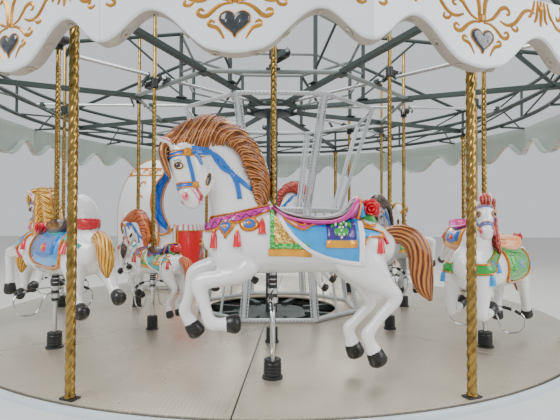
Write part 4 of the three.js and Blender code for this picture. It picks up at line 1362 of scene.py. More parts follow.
def prancer():
    """The prancing horse: its head held high and turned outward, all four feet off the deck."""
    face = (Matrix.Translation((0.48, 0.078, 1.43)) @ Matrix.Rotation(math.radians(12), 4, "Z") @
        Matrix.Rotation(math.radians(10), 4, "X"))
    forms = [
        limb([[372, 884, 64, 90], [340, 882, 112, 150], [265, 874, 148, 184], [150, 860, 168, 190],
            [0, 845, 178, 180], [-150, 838, 177, 167], [-300, 837, 176, 163], [-420, 838, 178, 164],
            [-520, 836, 172, 156], [-600, 828, 150, 134], [-656, 818, 104, 96]], 0, 20),
        limb([[150, 930, 132, 205], [190, 1040, 116, 180], [225, 1150, 104, 158, 8],
            [265, 1260, 96, 146, 25], [320, 1350, 88, 130, 42], [400, 1412, 80, 106, 60],
            [470, 1430, 70, 86, 72]], 0, 18),
        limb([[130, 720, 66, 62], [200, 672, 60, 58], [300, 650, 50, 50], [404, 630, 47, 50],
            [412, 590, 43, 45], [396, 540, 38, 38], [378, 480, 34, 34], [362, 424, 36, 36],
            [342, 396, 40, 40], [300, 391, 37, 36], [262, 392, 41, 42], [244, 392, 44, 46]], 96, 14),
        limb([[250, 770, 70, 90], [340, 712, 58, 60], [430, 682, 48, 52], [474, 656, 45, 48],
            [488, 610, 41, 42], [498, 552, 37, 37], [514, 490, 34, 34], [529, 440, 38, 40],
            [518, 400, 36, 38], [496, 366, 41, 43], [486, 348, 43, 46]], -98, 14),
        limb([[-450, 810, 76, 150], [-510, 740, 80, 136], [-575, 662, 68, 98], [-640, 600, 52, 62],
            [-694, 556, 42, 42], [-690, 522, 37, 37], [-656, 482, 34, 34], [-620, 445, 32, 32],
            [-570, 382, 32, 32], [-536, 334, 39, 39], [-550, 288, 35, 37], [-566, 252, 41, 44],
            [-576, 230, 44, 47]], 98, 14),
        limb([[-430, 810, 76, 150], [-470, 730, 78, 130], [-525, 648, 64, 90], [-565, 562, 50, 58],
            [-596, 488, 42, 42], [-586, 456, 36, 36], [-545, 416, 33, 33], [-500, 366, 32, 32],
            [-462, 326, 38, 38], [-470, 282, 35, 37], [-479, 246, 41, 44], [-486, 222, 44, 47]], -98,
            14),
        ball((284, 0, 866), (86, 124, 136)),
        *muscles((232, 78, 810), (120, 84, 150)),
        *muscles((-520, 84, 812), (124, 84, 140))]
    body = horse_body(forms, face, 19000)
    parts = [
        hoof([[248, 392, 45, 48], [232, 393, 48, 52], [208, 394, 50, 56]], 96),
        hoof([[488, 350, 44, 47], [474, 328, 47, 51], [454, 300, 49, 54]], -98),
        hoof([[-576, 232, 45, 49], [-584, 214, 48, 52], [-598, 184, 50, 56]], 98),
        hoof([[-486, 224, 45, 49], [-493, 206, 48, 52], [-507, 174, 50, 56]], -98)]
    parts += mane([(580, 1378), (500, 1366), (400, 1372), (310, 1396), (237, 1384), (189, 1334),
        (165, 1262), (126, 1180), (112, 1111), (84, 1059)], [(616, 1442), (556, 1500), (462, 1556),
        (350, 1576), (240, 1540), (157, 1478), (92, 1400), (52, 1300), (26, 1200), (36, 1062)], 88, 62,
        44)
    parts += tail([(-636, 866), (-676, 888), (-741, 899), (-812, 872), (-856, 806), (-872, 730),
        (-878, 655), (-897, 578), (-930, 508)], [34, 50, 60, 70, 76, 76, 72, 54, 12])
    parts += head_details(body, face, 1)
    for side in (-1, 1):
        band, stud, cover, knotted, threads = beside(body, side)
        parts += [
            band([(392, 950), (350, 954), (270, 972), (190, 994), (110, 1020), (24, 1044)], 35, 0.009,
                MAGENTA, 5, lambda t: 1 - 0.55 * t),
            band([(392, 988), (350, 992), (270, 1008), (190, 1024), (110, 1044), (24, 1062)], 5, 0.014,
                TRIM_GOLD),
            band([(392, 912), (350, 914), (320, 924), (290, 934), (262, 934), (234, 944), (204, 960),
                (170, 966), (134, 972), (90, 1000), (24, 1028)], 5, 0.014, TRIM_GOLD),
            band([(384, 930), (364, 960), (344, 934), (324, 966), (304, 946), (284, 978), (262, 956),
                (242, 986), (220, 968), (200, 1000), (176, 984), (156, 1010), (130, 998), (110, 1026),
                (84, 1014), (60, 1038)], 2.6, 0.0125, PURPLE),
            stud(oval(104, 84, 18), 134, 953, 0.016, TRIM_GOLD, 0.003),
            stud(oval(76, 60, 18), 134, 953, 0.025, RIBBON_BLUE, 0.004),
            stud(oval(30, 26, 12), 134, 953, 0.033, TRIM_GOLD, 0.003),
            stud(heart(96, 104), 262, 926, 0.016, TRIM_GOLD, 0.003),
            stud(heart(70, 78), 262, 928, 0.025, RIBBON_BLUE, 0.004),
            stud(oval(26, 26, 12), 262, 936, 0.033, TRIM_GOLD, 0.003),
            knotted(327, 914, 96),
            knotted(199, 916, 88),
            knotted(63, 976, 90),
            band([(6, 1036), (6, 960), (6, 880), (6, 822)], 14, 0.010, GREEN_SPECKLE),
            band([(14, 836), (-60, 836), (-130, 836), (-196, 832)], 16, 0.010, GREEN_SPECKLE),
            cover([(-4, 1020), (-12, 1000), (-50, 950), (-110, 880), (-150, 852)],
                [(-4, 850), (-10, 850), (-50, 850), (-110, 850), (-150, 851)], 0.009, GOLD_SPECKLE, 8,
                3),
            threads([(24, 822), (-60, 822), (-130, 820), (-208, 816)], 44, 46),
            band([(26, 800), (-60, 800), (-130, 798), (-212, 794)], 21, 0.005, YELLOW_GOLD),
            cover([(-34, 1000), (-150, 985), (-300, 978), (-400, 978), (-492, 980)],
                [(-36, 994), (-112, 890), (-214, 806), (-366, 756), (-492, 740)], 0.008, SKY_BLUE, 12,
                6),
            band([(-26, 1012), (-60, 946), (-104, 890), (-160, 842), (-214, 806), (-300, 772),
                (-400, 750), (-502, 738)], 12, 0.014, WHITE_ENAMEL, 5),
            band([(-488, 738), (-488, 800), (-488, 870), (-488, 930), (-486, 965)], 17, 0.014,
                WHITE_ENAMEL),
            cover([(-296, 962), (-350, 960), (-400, 960), (-456, 962)], [(-296, 872), (-350, 871),
                (-400, 871), (-456, 872)], 0.014, PURPLE, 5, 4),
            band([(-290, 848), (-350, 847), (-400, 847), (-462, 848)], 23, 0.013, YELLOW_GOLD),
            threads([(-292, 868), (-350, 867), (-400, 867), (-460, 868)], 42, 26),
            band([(0, 1052), (-40, 1020), (-110, 990), (-210, 968), (-310, 968), (-390, 992),
                (-440, 1036), (-466, 1084), (-476, 1112)], 19, 0.017, MAGENTA, 6),
            band([(-4, 1040), (-44, 1002), (-112, 972), (-210, 952), (-312, 954), (-396, 980),
                (-448, 1026)], 3.5, 0.021, TRIM_GOLD, 6),
            cover([(-14, 1040), (-70, 1004), (-130, 984), (-190, 972), (-230, 968), (-310, 966)],
                [(-18, 1032), (-54, 984), (-100, 946), (-164, 918), (-214, 938), (-310, 950)], 0.016,
                MAGENTA, 6, 4),
            band([(-22, 1030), (-54, 986), (-100, 948), (-164, 920), (-212, 940), (-250, 950),
                (-310, 950)], 4, 0.019, TRIM_GOLD, 5),
            band([(-76, 984), (-112, 958), (-152, 940), (-182, 946), (-176, 962), (-152, 960)], 4.5,
                0.021, TRIM_GOLD),
            band([(-92, 986), (-130, 972), (-176, 976), (-214, 958), (-250, 962), (-290, 958)], 4,
                0.021, TRIM_GOLD),
            band([(-320, 958), (-340, 976), (-368, 982), (-396, 1004), (-424, 1020), (-444, 1050)], 4,
                0.024, TRIM_GOLD, 5),
            band([(-500, 906), (-530, 902), (-570, 896), (-600, 892)], 26, 0.010, SKY_BLUE, 4,
                lambda t: 1 - 0.45 * t),
            band([(-500, 934), (-530, 930), (-570, 920), (-612, 904)], 4.5, 0.015, TRIM_GOLD),
            band([(-506, 840), (-512, 868), (-532, 884), (-566, 884), (-612, 880)], 4.5, 0.015,
                TRIM_GOLD),
            band([(-606, 910), (-622, 880), (-640, 846)], 7, 0.012, CRIMSON),
            band([(-498, 990), (-508, 960), (-540, 944), (-578, 946)], 5, 0.013, TRIM_GOLD),
            knotted(-596, 886, 96),
            stud(oval(30, 30, 12), -596, 890, 0.016, YELLOW_GOLD, 0.003)]
        for spot, (u, z, size, lean) in enumerate([(-334, 944, 1, 0.5), (-416, 944, 1, -0.5),
                (-352, 906, 0.9, 0.3), (-398, 906, 0.9, -0.3), (-375, 900, 1, 0), (-375, 946, 1.1, 0)]):
            leaf = [(p * size + lean * q * size, q * size) for p, q in heart(52, 68)]
            parts.append(stud(leaf, u, z, 0.022 + 0.001 * spot, LEAF_GREEN, 0.002))
        for u, z in ((-375, 968), (-359, 952), (-391, 952), (-346, 940), (-404, 940), (-366, 926),
                (-384, 926), (-375, 910), (-375, 940), (-362, 892), (-388, 892), (-375, 880)):
            parts.append(stud(oval(14, 14, 8), u, z, 0.034, BERRY_WHITE))
        for path in ([(452, 1360), (396, 1352), (340, 1348), (300, 1322), (262, 1276), (224, 1232)],
                [(452, 1372), (400, 1376), (350, 1356), (318, 1306), (280, 1262), (232, 1240)]):
            parts.append(band(path, 12.5, 0.009, RIBBON_BLUE, 5))
        parts.append(band([(240, 1250), (214, 1204), (198, 1150), (190, 1096)], 15, 0.009, RIBBON_BLUE))
        parts.append(band([(240, 1240), (192, 1206), (152, 1172), (116, 1148)], 14, 0.009, RIBBON_BLUE))
        parts.append(band([(446, 1356), (418, 1326), (398, 1280)], 13, 0.009, RIBBON_BLUE, 4,
            lambda t: 1.2 - t))
    seat = limb([[-8, 1056, 60, 12], [-60, 1020, 118, 16], [-160, 990, 144, 20], [-280, 982, 148, 22],
        [-380, 999, 143, 24], [-440, 1040, 126, 24], [-470, 1088, 104, 14]], 0, 18, 5)
    parts.append(painted(seat, SADDLE_BROWN))
    cantle = limb([[-440, 1000, 124, 40], [-466, 1050, 122, 30], [-478, 1098, 98, 19],
        [-484, 1112, 62, 10]], 0, 18, 5)
    parts.append(painted(cantle, MAGENTA))
    for side in (-1, 1):
        roll = limb([[-6, 1046, 12, 7, -84], [-40, 1018, 14, 9, -46], [-100, 988, 15, 10, -14],
            [-180, 972, 16, 11, 0], [-280, 967, 16, 11, 4], [-350, 973, 16, 12, 2],
            [-410, 998, 16, 15, -6], [-450, 1036, 15, 18, -18], [-478, 1086, 13, 17, -42],
            [-496, 1110, 10, 10, -76]], 0, 12, 4)
        moved(roll, Matrix.Translation((0, 0.144, 0)))
        if side < 0:
            outward(moved(roll, Matrix.Diagonal((1, -1, 1, 1))))
        parts.append(painted(roll, MAGENTA))
    for side in (-1, 1):
        edge = wire([(-0.474, side * 0.126, 0.985), (-0.491, side * 0.118, 1.05),
            (-0.496, side * 0.09, 1.10), (-0.497, 0, 1.118)], 0.008)
        parts.append(painted(edge, TRIM_GOLD))
        shield = limb([[-482, 1080, 10, 14], [-498, 1060, 12, 26], [-512, 1000, 10, 22]], side * 60, 10)
        parts.append(painted(shield, SKY_BLUE))
    parts.append(rose((-562, 0, 1046), 66, CRIMSON, 1.5))
    for side in (-1, 1):
        stem = limb([[-520, 962, 10, 20], [-546, 984, 12, 34], [-572, 966, 11, 30], [-592, 930, 6, 10]],
            side * 46, 10)
        parts.append(painted(stem, LEAF_GREEN))
    return joined("prancer", [body] + parts)


def plain_tack(body, seat, rise, breast):
    """Saddle, blanket and straps of the leaping and the bowing horse."""
    front, middle, back = -40, -260, -480
    parts = []
    low = seat - 250
    for side in (-1, 1):
        band, stud, cover, knotted, threads = beside(body, side)
        parts += [
            cover([(front + 10, seat - 26), (middle, seat - 40), (back + 20, seat - 26)],
                [(front + 24, low + 36), (middle, low), (back + 6, low + 40)], 0.009, SKY_BLUE, 10, 8),
            band([(front + 26, seat - 30), (front + 26, low + 32), (middle, low - 4),
                (back + 2, low + 36), (back + 2, seat - 30)], 11, 0.014, TRIM_GOLD, 8),
            threads([(front + 18, low + 30), (middle, low - 6), (back + 8, low + 34)], 30, 34),
            cover([(front - 30, seat - 60), (middle, seat - 70), (back + 60, seat - 60)],
                [(front - 30, low + 90), (middle, low + 60), (back + 60, low + 92)], 0.015, PURPLE, 6,
                6),
            stud(oval(90, 66, 18), middle, seat - 130, 0.024, CRIMSON, 0.006),
            stud(oval(44, 34, 12), middle, seat - 130, 0.031, YELLOW_GOLD, 0.003),
            band([(front - 10, seat - 4), (middle + 60, seat - 40), (middle - 60, seat - 42),
                (back + 40, seat - 6)], 14, 0.018, MAGENTA, 6),
            band([(392, seat - 130), (330, seat - 126), (240, seat - 90), (140, seat - 44),
                (20, seat - 8)], breast, 0.009, MAGENTA, 5, lambda t: 1 - 0.5 * t),
            band([(392, seat - 100), (330, seat - 98), (240, seat - 66), (140, seat - 26),
                (20, seat + 4)], 4.5, 0.013, TRIM_GOLD),
            band([(392, seat - 160), (330, seat - 156), (240, seat - 116), (140, seat - 66),
                (20, seat - 24)], 4.5, 0.013, TRIM_GOLD),
            stud(oval(70, 60, 16), 250, seat - 100, 0.016, RIBBON_BLUE, 0.005),
            knotted(330, seat - 160, 74),
            knotted(180, seat - 92, 74),
            band([(back, seat - 50), (back - 50, seat - 76), (-620, seat - 110)], 14, 0.010, TURQUOISE),
            knotted(back - 46, seat - 84, 78)]
    seat_rings = [[front + 22, seat + 44, 54, 18], [front - 30, seat + 8, 110, 26],
        [middle, seat - 16, 140, 30], [back + 70, seat - 2, 134, 32], [back + 24, seat + 60, 116, 28]]
    parts.append(painted(limb(seat_rings, 0, 16, 5), SADDLE_BROWN))
    swan = limb([[back + 20, seat - 20, 96, 44], [back - 4, seat + 60 * rise, 98, 40],
        [back + 6, seat + 130 * rise, 84, 34], [back + 34, seat + 190 * rise, 56, 26],
        [back + 62, seat + 212 * rise, 28, 16]], 0, 16, 5)
    parts.append(painted(swan, PEACH))
    if rise == 1:
        girth = limb([[back + 2, seat + 16, 104, 50], [back - 2, seat + 56, 104, 46]], 0, 18, 2)
        parts.append(painted(girth, CRIMSON))
    return parts


def head_place(middle, turn, nod, scale):
    """Where a head stands, how far it is turned outward and nods, in degrees."""
    return (Matrix.Translation(middle) @ about_z(turn) @ Matrix.Rotation(math.radians(nod), 4, "Y") @
        Matrix.Scale(scale, 4))


def horse_body(forms, face, faces=15000):
    """A horse's forms and its head, fused and enamelled."""
    body = painted(fused(forms + head_skin(face), 0.0095, faces), WHITE_ENAMEL)
    bpy.context.view_layer.update()
    return body


def leaper_barrel():
    return [
        limb([[400, 662, 62, 86], [360, 660, 106, 138], [280, 654, 136, 162], [150, 642, 158, 174],
            [0, 632, 166, 172], [-200, 630, 166, 164], [-380, 636, 168, 164], [-500, 646, 156, 152],
            [-570, 652, 134, 128], [-640, 656, 86, 84]], 0, 20),
        ball((310, 0, 640), (90, 118, 120)),
        *muscles((230, 72, 620), (110, 76, 130)),
        *muscles((-490, 76, 640), (118, 78, 130))]


def leaping_legs():
    return [
        limb([[270, 650, 66, 90], [420, 632, 56, 62], [560, 606, 46, 50], [690, 590, 42, 46],
            [718, 560, 38, 40], [716, 490, 33, 33], [710, 400, 32, 32], [706, 372, 37, 37],
            [704, 330, 40, 40]], 92, 14),
        limb([[260, 640, 66, 90], [350, 540, 54, 62], [402, 470, 42, 46], [380, 440, 38, 40],
            [330, 420, 33, 33], [285, 404, 36, 36], [250, 385, 38, 38]], -92, 14),
        limb([[-470, 640, 74, 130], [-540, 540, 64, 92], [-566, 440, 46, 54], [-572, 400, 40, 42],
            [-590, 350, 35, 35], [-612, 326, 38, 38], [-632, 312, 40, 42]], 88, 14),
        limb([[-480, 640, 74, 130], [-580, 550, 60, 80], [-656, 480, 44, 50], [-690, 446, 37, 38],
            [-722, 408, 36, 36], [-748, 392, 38, 40]], -88, 14)]


def leaping_hoofs():
    return [
        hoof([[704, 334, 40, 42], [702, 308, 44, 47], [698, 276, 48, 52]], 92),
        hoof([[252, 388, 38, 40], [232, 372, 42, 45], [206, 352, 46, 50]], -92),
        hoof([[-628, 316, 40, 42], [-644, 304, 43, 47], [-668, 288, 46, 51]], 88),
        hoof([[-742, 396, 38, 40], [-760, 386, 42, 45], [-786, 370, 45, 49]], -88)]


def side_locks(crest, wide, drop, count, lean=(0, 0)):
    """Locks of mane that fall from the crest over the outer side of the neck."""
    locks = []
    for k in range(count):
        share = k / (count - 1)
        place = share * (len(crest) - 1)
        low = min(int(place), len(crest) - 2)
        x, z = (crest[low][i] + (crest[low + 1][i] - crest[low][i]) * (place - low) for i in (0, 1))
        out = wide[0] + (wide[1] - wide[0]) * share
        shift = lean[0] + (lean[1] - lean[0]) * share
        fall = drop * (0.8 + 0.2 * math.sin(2.6 * k)) * (0.75 + 0.25 * math.sin(3 * share))
        turn = 7 * math.sin(1.9 * k)
        lock = limb([[x, z + 4, 18, 16, shift + 6], [x + 6, z + 8, 20, 22, shift + 0.5 * out],
            [x + 4, z - 0.22 * fall, 17, 24, shift + 0.98 * out],
            [x - 4 + turn, z - 0.55 * fall, 16, 23, shift + 1.14 * out],
            [x + 6 - turn, z - 0.85 * fall, 12, 16, shift + 1.2 * out],
            [x + 2, z - fall, 4, 5, shift + 1.2 * out]], 0, 8, 3)
        locks.append(painted(lock, COPPER_HAIR))
    return locks


def leaper():
    """The leaping horse: fore feet reaching, hind feet thrown back, its head turned out."""
    face = head_place((0.272, -0.02, 1.036), 44, -18, 0.76)
    forms = leaper_barrel()
    forms.append(limb([[180, 710, 118, 176], [214, 800, 104, 154, -3], [242, 880, 88, 132, -8],
        [262, 955, 72, 106, -14], [270, 1008, 62, 84, -18], [272, 1044, 54, 66, -20]], 0, 18))
    body = horse_body(forms + leaping_legs(), face)
    parts = leaping_hoofs()
    parts += mane([(240, 1062), (196, 1030), (162, 968), (124, 890), (84, 810), (40, 744)],
        [(236, 1096), (174, 1066), (122, 992), (78, 908), (32, 830), (-10, 768)], 58, -20, 20)
    parts += side_locks([(250, 1074), (200, 1036), (160, 966), (118, 888), (80, 812)], (64, 102), 190,
        17, (-18, 0))
    parts += tail(STREAMING_TAIL, [34, 48, 58, 62, 62, 52, 14])
    parts += head_details(body, face, 0.7) + plain_tack(body, 800, 1, 26)
    parts.append(rose((-64, 128, 800), 46))
    return joined("leaper", [body] + parts)


def runner():
    """The leaping horse with its head carried low and to the inside, and a low saddle."""
    face = head_place((0.418, -0.098, 1.03), -8, -30, 0.76)
    forms = leaper_barrel()
    forms.append(limb([[180, 710, 118, 176], [240, 790, 104, 160, -20], [310, 880, 88, 138, -48],
        [380, 962, 72, 108, -78], [430, 1010, 58, 78, -98]], 0, 18))
    body = horse_body(forms + leaping_legs(), face)
    parts = leaping_hoofs()
    parts += mane([(450, 1030), (392, 1012), (334, 968), (286, 908), (240, 842), (190, 790)],
        [(462, 1082), (384, 1082), (296, 1042), (218, 978), (152, 892), (112, 812)], 64, -98, 20)
    parts += tail(STREAMING_TAIL, [40, 58, 68, 74, 72, 56, 14])
    parts += head_details(body, face, 1) + plain_tack(body, 800, 0.2, 26)
    return joined("runner", [body] + parts)


def walker():
    """The bowing horse: knees folded under it, its head turned outward."""
    face = head_place((0.25, 0.078, 1.088), 30, -40, 0.72)
    forms = leaper_barrel() + [
        limb([[180, 710, 118, 176], [212, 800, 102, 156, 14], [232, 890, 84, 130, 38],
            [244, 980, 70, 106, 60], [252, 1060, 58, 82, 74], [262, 1096, 50, 60, 80]], 0, 18),
        limb([[280, 650, 66, 104], [322, 548, 56, 64], [344, 450, 48, 52], [356, 384, 42, 45],
            [340, 344, 38, 40], [286, 340, 34, 34], [240, 352, 36, 36], [216, 362, 40, 41]], 108, 14),
        limb([[270, 640, 66, 104], [308, 548, 55, 62], [330, 456, 47, 51], [342, 394, 41, 44],
            [326, 354, 37, 39], [272, 352, 34, 34], [226, 368, 36, 36], [202, 380, 39, 40]], -108, 14),
        limb([[-470, 640, 74, 130], [-570, 520, 56, 76], [-602, 424, 43, 48], [-620, 390, 38, 38],
            [-648, 310, 34, 34], [-664, 270, 38, 40], [-680, 244, 42, 44]], 88, 14),
        limb([[-470, 640, 74, 130], [-540, 500, 54, 70], [-562, 412, 42, 46], [-556, 370, 37, 38],
            [-536, 310, 33, 33], [-528, 270, 36, 37], [-524, 236, 41, 43]], -88, 14)]
    body = horse_body(forms, face)
    parts = [
        hoof([[222, 359, 40, 42], [200, 367, 44, 47], [170, 380, 47, 52]], 108),
        hoof([[208, 377, 39, 41], [186, 387, 43, 46], [158, 402, 46, 51]], -108),
        hoof([[-676, 250, 41, 44], [-684, 230, 44, 48], [-696, 206, 48, 52]], 88),
        hoof([[-525, 240, 40, 43], [-523, 218, 44, 47], [-520, 190, 48, 52]], -88)]
    parts += mane([(206, 1096), (170, 1050), (142, 980), (110, 895), (66, 812), (24, 746)],
        [(186, 1140), (120, 1086), (86, 1000), (50, 910), (4, 820), (-36, 760)], 60, 72, 20)
    parts += side_locks([(190, 1062), (160, 976), (124, 888), (86, 808)], (58, 104), 100, 12, (66, 14))
    parts += tail([(-606, 690), (-650, 716), (-696, 702), (-722, 640), (-730, 560), (-738, 470),
        (-752, 392)], [40, 56, 62, 64, 60, 46, 14])
    parts += head_details(body, face, 0.5) + plain_tack(body, 786, 0.2, 44)
    parts.append(rose((-520, 70, 846), 44, LIP_RED))
    return joined("walker", [body] + parts)


# The form of the outer horse of each arm
OUTER_FORMS = {1: "prancer", 2: "walker", 3: "runner", 4: "leaper", 5: "prancer", 7: "runner",
    8: "leaper"}

# Colours of each horse: what its copy changes in the form's own finishes
COATS = {
    "outer_1": {},
    "outer_2": {"copper_hair": RED_HAIR, "sky_blue": GREEN_SPECKLE, "purple": GREEN_SPECKLE,
                "magenta": LEAF_GREEN, "turquoise": SKY_BLUE, "saddle_brown": PEACH,
                "crimson": SKY_BLUE},
    "outer_3": {"copper_hair": RED_HAIR, "sky_blue": YELLOW_GOLD, "purple": RIBBON_BLUE,
                "magenta": PURPLE, "saddle_brown": MAGENTA},
    "outer_4": {"copper_hair": GOLD_HAIR, "sky_blue": TURQUOISE, "purple": CRIMSON},
    "outer_5": {"sky_blue": LEAF_GREEN, "magenta": CRIMSON, "copper_hair": RED_HAIR},
    "outer_7": {"copper_hair": GOLD_HAIR, "sky_blue": TURQUOISE, "purple": LEAF_GREEN},
    "outer_8": {"copper_hair": GOLD_HAIR, "purple": RIBBON_BLUE, "peach": WHITE_ENAMEL,
                "magenta": TURQUOISE},
    "inner_1": {"copper_hair": GOLD_HAIR, "sky_blue": CRIMSON, "purple": LEAF_GREEN},
    "inner_2": {"white_enamel": GREY_ENAMEL, "sky_blue": TURQUOISE, "magenta": CRIMSON,
                "copper_hair": DARK_HAIR},
    "inner_3": {"copper_hair": RED_HAIR, "sky_blue": TURQUOISE, "magenta": PURPLE},
    "inner_4": {"copper_hair": GOLD_HAIR, "sky_blue": PEACH, "magenta": LEAF_GREEN},
    "inner_5": {"copper_hair": ORANGE_HAIR, "sky_blue": MAGENTA, "purple": TURQUOISE},
    "inner_7": {"copper_hair": DARK_HAIR, "sky_blue": CRIMSON, "magenta": TURQUOISE},
    "inner_8": {"copper_hair": ORANGE_HAIR, "sky_blue": TURQUOISE, "magenta": PURPLE,
                "purple": PEACH},
}


def ride_place(ride, raised_by=0.0, scale=1.0):
    """Where a ride's own frame stands: +X the way it travels, +Y outward."""
    lift = -REST_LIFT * ride["phase"]
    return (Matrix.Translation(polar(ride["radius"], ride["deg"], DECK_TOP + lift)) @
        about_z(ride["deg"] - 90) @ Matrix.Translation((0, 0, raised_by)) @ Matrix.Scale(scale, 4))


def form_of(ride):
    """The form of a ride's horse, its scale and how far it is raised."""
    if ride["ring"] == "outer":
        return OUTER_FORMS[ride["arm"]], 1.0, 0.0
    kind = "leaper" if ride["arm"] % 2 else "prancer"
    return kind, 0.6, 0.118 + (0.06 if kind == "leaper" else 0)


def horses():
    forms = {"prancer": prancer(), "leaper": leaper(), "walker": walker(), "runner": runner()}
    for form in forms.values():
        modified(form, "DECIMATE", ratio=HORSE_FACES)
    small = {}
    for kind in ("prancer", "leaper"):
        small[kind] = copies(forms[kind], "small", [STILL], keep=True)
        modified(small[kind], "DECIMATE", ratio=SMALL_HORSE_FACES)
    for ride in RIDES:
        kind, scale, lift = form_of(ride)
        label = f"{ride['ring']}_{ride['arm']}"
        source = forms[kind] if scale == 1 else small[kind]
        horse = copies(source, "horse", [ride_place(ride, lift, scale)], keep=True)
        for i, material in enumerate(horse.data.materials):
            if material.name in COATS[label]:
                horse.data.materials[i] = COATS[label][material.name]
        dressed(horse, f"painted_horse_{label}", f"ride_{label}", "horse_enamel", f"horse_{label}")
    removed(*forms.values(), *small.values())


def footrest(high, low, spread):
    """A wide wire loop on each side of the pole, with a rubber grip on its upper bar."""
    parts = [painted(cylinder(0.03, high - 0.02, high + 0.012, 16, 0.003), CHROME),
        painted(cylinder(0.03, high - 0.075, high - 0.045, 16, 0.003), CHROME)]
    fall = high - low
    for side in (-1, 1):
        loop = [Vector((x, side * spread * y, high - fall * z)) for x, y, z in ((0, 0.1, 0),
            (0.01, 0.42, 0.01), (0.015, 0.74, 0.08), (0.01, 0.95, 0.24), (0, 1.0, 0.5),
            (-0.005, 0.92, 0.82), (0, 0.72, 0.985), (0.005, 0.5, 0.95), (0.005, 0.38, 0.72),
            (0, 0.32, 0.45), (-0.005, 0.22, 0.28), (0, 0.1, 0.22))]
        parts.append(painted(wire(loop, 0.0058), CHROME))
        for start, end in zip(loop[1:3], loop[2:4]):
            grip = [start.lerp(end, share) for share in (0.15, 0.5, 0.85)]
            parts.append(painted(wire(grip, 0.0115), BLACK_RUBBER))
    return parts


def pole_form(kind, scale, lift, way):
    """The pole of one form of horse, with its sleeve, footrests and hanger."""
    seat, belly, drop = (1.0, 0.66, -0.26) if kind == "prancer" else (0.8, 0.46, -0.08)
    seat, belly = seat * scale + lift, belly * scale + lift
    sleeve = belly - 0.19 * scale
    parts = [
        painted(twisted(POLE_R, seat - 0.05, 1.96, 0.15, 0.011), BRASS),
        painted(cylinder(0.0165, 1.95, 2.8, 14, 0.002), BRASS),
        painted(cylinder(0.016, -0.08, sleeve, 16, 0.002), CHROME),
        painted(cylinder(0.0185, sleeve, seat, 16), CHROME)]
    rib = (belly - sleeve) / 7
    for k in range(7):
        low = sleeve + 0.004 + k * rib
        parts.append(painted(cylinder(0.026, low, low + 0.72 * rib, 18, 0.003),
            SLEEVE_BROWN if k % 2 else BLACK_RUBBER))
    parts += footrest(sleeve + 0.1 * scale, sleeve + drop * scale, 0.26 * scale + 0.01)
    reach = math.sqrt(CRANK_THROW ** 2 - REST_LIFT ** 2)
    middle = SHAFT_Z - DECK_TOP
    arm = box((reach + 0.006, 0.05, 0.05), ((reach - 0.022) / 2 * way, 0, middle), 0.006)
    clamp = cylinder(0.032, middle - 0.042, middle + 0.042, 18, 0.004)
    eye = moved(cylinder(0.03, -0.025, 0.025, 18, 0.004), Matrix.Translation((reach * way, 0, middle)) @
        Matrix.Rotation(math.pi / 2, 4, "X"))
    return joined("pole", parts + [painted(p, BLACK_RUBBER) for p in (arm, clamp, eye)])


def poles():
    """Twisted brass above the saddle, steel below it, and the hanger at the crank."""
    made = {}
    for ride in RIDES:
        key = (*form_of(ride), ride["phase"])
        if key not in made:
            made[key] = pole_form(*key)
        label = f"{ride['ring']}_{ride['arm']}"
        pole = copies(made[key], "pole", [ride_place(ride)], keep=True)
        dressed(pole, f"brass_pole_{label}", f"ride_{label}", "pole_brass", f"pole_{label}")
    removed(*made.values())


horses()
poles()


# The chariot: a hooded shell with a tufted lining, a bench and a red front
HOOD = Vector((0.515, 0.35, 0.768))
HOOD_MIDDLE = 0.96
HOOD_WALL = 0.034
MOUTH_RADIUS = 0.51
MOUTH_MIDDLE = 1.15
SIDE_TOP = 0.822
BENCH_TOP = 0.43
DASH_BACK = 0.337
DASH = Vector((0.308, 0.343))
DASH_FOOT = 0.092
DASH_TOP = 0.83
TUFTS_ROUND, TUFTS_UP = 14, 9

TUFTED_BLUE = finish("tufted_blue", "1488f4", "0656b4", 30, 0.2, 0.3, 0.1, 0, 0.3, 0.1)
DASH_RED = finish("dash_red", "ee0010", "a8000c", 6, 0.12, 0.32, 0.08, 0, 0.3, 0.02)
SHELL_WHITE = finish("shell_white", "f8f9fa", "c9cac6", 5, 0.08, 0.24, 0.08, 0, 0.4, 0.02)
RUFFLE_PINK = finish("ruffle_pink", "e05070", "b0304c", 20, 0.12, 0.4, 0.1, 0, 0.2, 0.02)
TRIM_YELLOW = finish("trim_yellow", "dc8c14", "8a5008", 14, 0.2, 0.3, 0.1, 0.35, 0.3, 0.02)


def mouth_x(z):
    """How far forward the edge of the hood reaches at a height."""
    off = min(abs(z - MOUTH_MIDDLE), MOUTH_RADIUS * 0.94)
    reach = MOUTH_RADIUS - math.sqrt(MOUTH_RADIUS ** 2 - off ** 2)
    if z < MOUTH_MIDDLE:
        reach = min(reach, 0.10)
    return min(reach, 0.13)


def hood_point(round_share, rise_share, inset=0.0, out=0.0):
    """A point of the hood: -1 to 1 round it from mouth edge to mouth edge, 0 to 1 up it."""
    up = math.radians(-78 + 166 * rise_share)
    depth, half, rise = (size - inset + out for size in HOOD)
    lift = math.sin(up)
    wide = math.cos(up) if lift > 0 else (1 + lift ** 5) ** 0.2
    level = HOOD_MIDDLE + rise * lift
    reach = min(mouth_x(level), 0.45 * depth * wide)
    turn = math.acos(-reach / (depth * wide)) * round_share
    return Vector((-depth * wide * math.cos(turn), half * wide * math.sin(turn), level))


def hood_surface(name, wide, high, place_of, low=0.0, top=1.0):
    points = [place_of(-1 + 2 * i / wide, low + (top - low) * j / high) for j in range(high + 1)
        for i in range(wide + 1)]
    return raw_piece(name, points, faces=grid(high, wide + 1, False))


def trim(points, radius, taper=None):
    return painted(wire(points, radius, 8, False, taper), TRIM_YELLOW)


def spiral(size, start, sweep, steps, shrink):
    """A scroll's points about its middle: each an angle and a reach."""
    return [(start + sweep * i / steps, size * (1 - shrink * i)) for i in range(steps + 1)]


